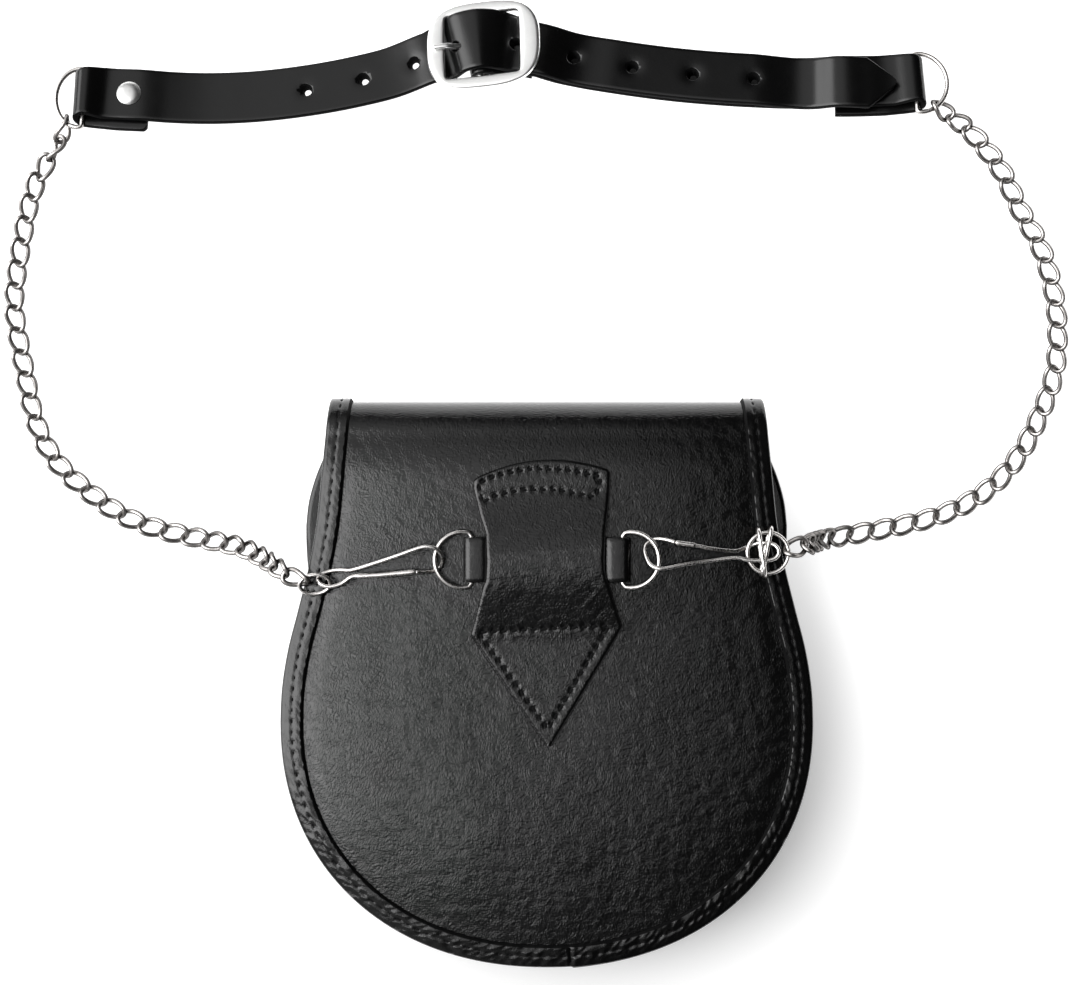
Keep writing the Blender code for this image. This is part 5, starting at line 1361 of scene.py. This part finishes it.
def link_place(number, segments, half_width, twist, skew):
    """A place on a link's middle line, in the link's own axes, and the way in from there."""
    def middle(k):
        angle = 2 * math.pi * (k + 0.5) / segments
        return np.array((LINK_HALF_LENGTH * math.cos(angle), half_width * math.sin(angle + skew),
                         twist * math.sin(2 * angle)))
    angle = 2 * math.pi * (number + 0.5) / segments
    inward = unit(np.array((-math.cos(angle) * LINK_HALF_WIDTH,
                            -math.sin(angle) * LINK_HALF_LENGTH, 0.0)))
    tangent = unit(middle(number + 1) - middle(number - 1))
    inward = unit(inward - tangent * inward.dot(tangent))
    return middle(number), inward, np.cross(tangent, inward)


def make_chain(word, table):
    """A chain of twisted oval links, each a closed wire of its own."""
    segments = FINE_LINK[0]
    link = [place + LINK_FINE_WIRE * arc(turns(LINK_SIDES), inward, across)
            for place, inward, across in (link_place(k, *FINE_LINK) for k in range(segments))]
    link = np.concatenate(link) + (0.0, 0.0, LINK_LIFT)
    joints = chain_joints(table)
    up = Vector((0, 0, 1))
    points, faces = [], []
    for number, ((start, roll), (end, next_roll)) in enumerate(zip(joints, joints[1:])):
        along = (end - start).normalized()
        if abs(along.z) < 0.85:
            up = Vector((0, 0, 1))
        up = (up - along * up.dot(along)).normalized()
        turned = Matrix.Rotation(math.radians((roll + next_roll) / 2), 3, along) @ up
        side = turned.cross(along).normalized()
        axes = np.array((along, side, along.cross(side)))
        points.append(link @ axes + np.array((start + end) / 2))
        faces += band_faces(segments, LINK_SIDES, True, number * len(link))
    dress(mesh_piece("chain_%s_links" % word, np.concatenate(points), faces, CHAIN_NICKEL),
          "nickel", "chain_" + word)


# ---------------------------------------------------------------- floor, light, camera

def make_floor():
    mesh = bpy.data.meshes.new("floor")
    r = 3.0
    z = -0.05 * MM              # below the flap's flat face, not in it
    mesh.from_pydata([(-r, -r, z), (r, -r, z), (r, r, z), (-r, r, z)], [], [(0, 1, 2, 3)])
    mesh.materials.append(floor_finish())
    floor = bpy.data.objects.new("floor", mesh)
    bpy.context.scene.collection.objects.link(floor)


def make_light():
    """A wide softbox on the left; what lies to the right and behind stays dark."""
    world = bpy.data.worlds.new("studio")
    n = Nodes(world)
    place = n.add("TexCoord").outputs["Generated"]
    total = SKY_REST
    for strength, edges in SKY:
        light = strength
        for direction, low, high in edges:
            facing = n.add("VectorMath", {"operation": "DOT_PRODUCT"}, _0=place, _1=direction)
            light = n.math("MULTIPLY", n.remap(facing.outputs["Value"], low, high,
                                               interpolation_type="SMOOTHSTEP"), light)
        total = n.math("ADD", light, total)
    n.fill(n.tree.nodes["Background"], Color=(1.0, 1.0, 1.0, 1.0), Strength=total)
    bpy.context.scene.world = world


def make_camera():
    camera = bpy.data.cameras.new("camera")
    camera.sensor_width = SENSOR
    camera.lens = SENSOR * CAMERA_HEIGHT / VIEW_WIDTH
    camera.clip_start, camera.clip_end = 0.05, 20.0
    holder = bpy.data.objects.new("camera", camera)
    holder.location = to_model((0.0, 0.0, CAMERA_HEIGHT)).tolist()
    bpy.context.scene.collection.objects.link(holder)
    bpy.context.scene.camera = holder


make_camera()
make_floor()
make_light()
make_cover()
make_binding()
make_gusset()
make_front_panel()
make_flap_snap()
make_hanger_patch()
make_ring_strap()
make_pouch_ring(-1, "left")
make_pouch_ring(1, "right")
make_clip("left", CLIP_LEFT, 3)
make_clip("right", CLIP_RIGHT, 2)
wire_loop("jump_ring_left", (-74.5, -30.9, 35.4), (1.0, 0.1, 0.0), (-0.1, 0.95, 0.32), 5.2, 3.4)
wire_loop("jump_ring_right", (77.7, -20.3, 36.75), (1.0, 0.0, 0.0), (0.0, 1.0, 0.0), 6.9, 6.9)
wire_loop("oval_ring_near", (75.4, -20.2, 37.0), (2.6, -17.9, 0.0), (0.0, 0.0, 1.0), 8.3, 3.4,
          True)
wire_loop("oval_ring_far", (77.05, -19.7, 37.0), (3.5, 17.3, 0.0), (0.1, 0.0, 1.0), 8.1, 1.75,
          True)
make_billet_strap()
make_buckle_strap()
make_belt_ring("left", LEFT_BAR_X, LEFT_RING_END_X, BILLET + BELT_RING_WIRE + GAP,
               LEFT_RING_SHIFT)
make_belt_ring("right", RIGHT_BAR_X, RIGHT_RING_END_X, BUCKLE_STRAP + BELT_RING_WIRE + GAP,
               RIGHT_RING_SHIFT)
make_rivet("left", RIVET_LEFT_X, 2 * BILLET + GAP, 4.2, 1.3)
make_rivet("right", RIVET_RIGHT_X, 2 * BUCKLE_STRAP + GAP, 3.6, 0.9)
make_buckle()
make_prong()
make_chain("left", CHAIN_LEFT)
make_chain("right", CHAIN_RIGHT)

bpy.context.scene.view_settings.view_transform = "Standard"
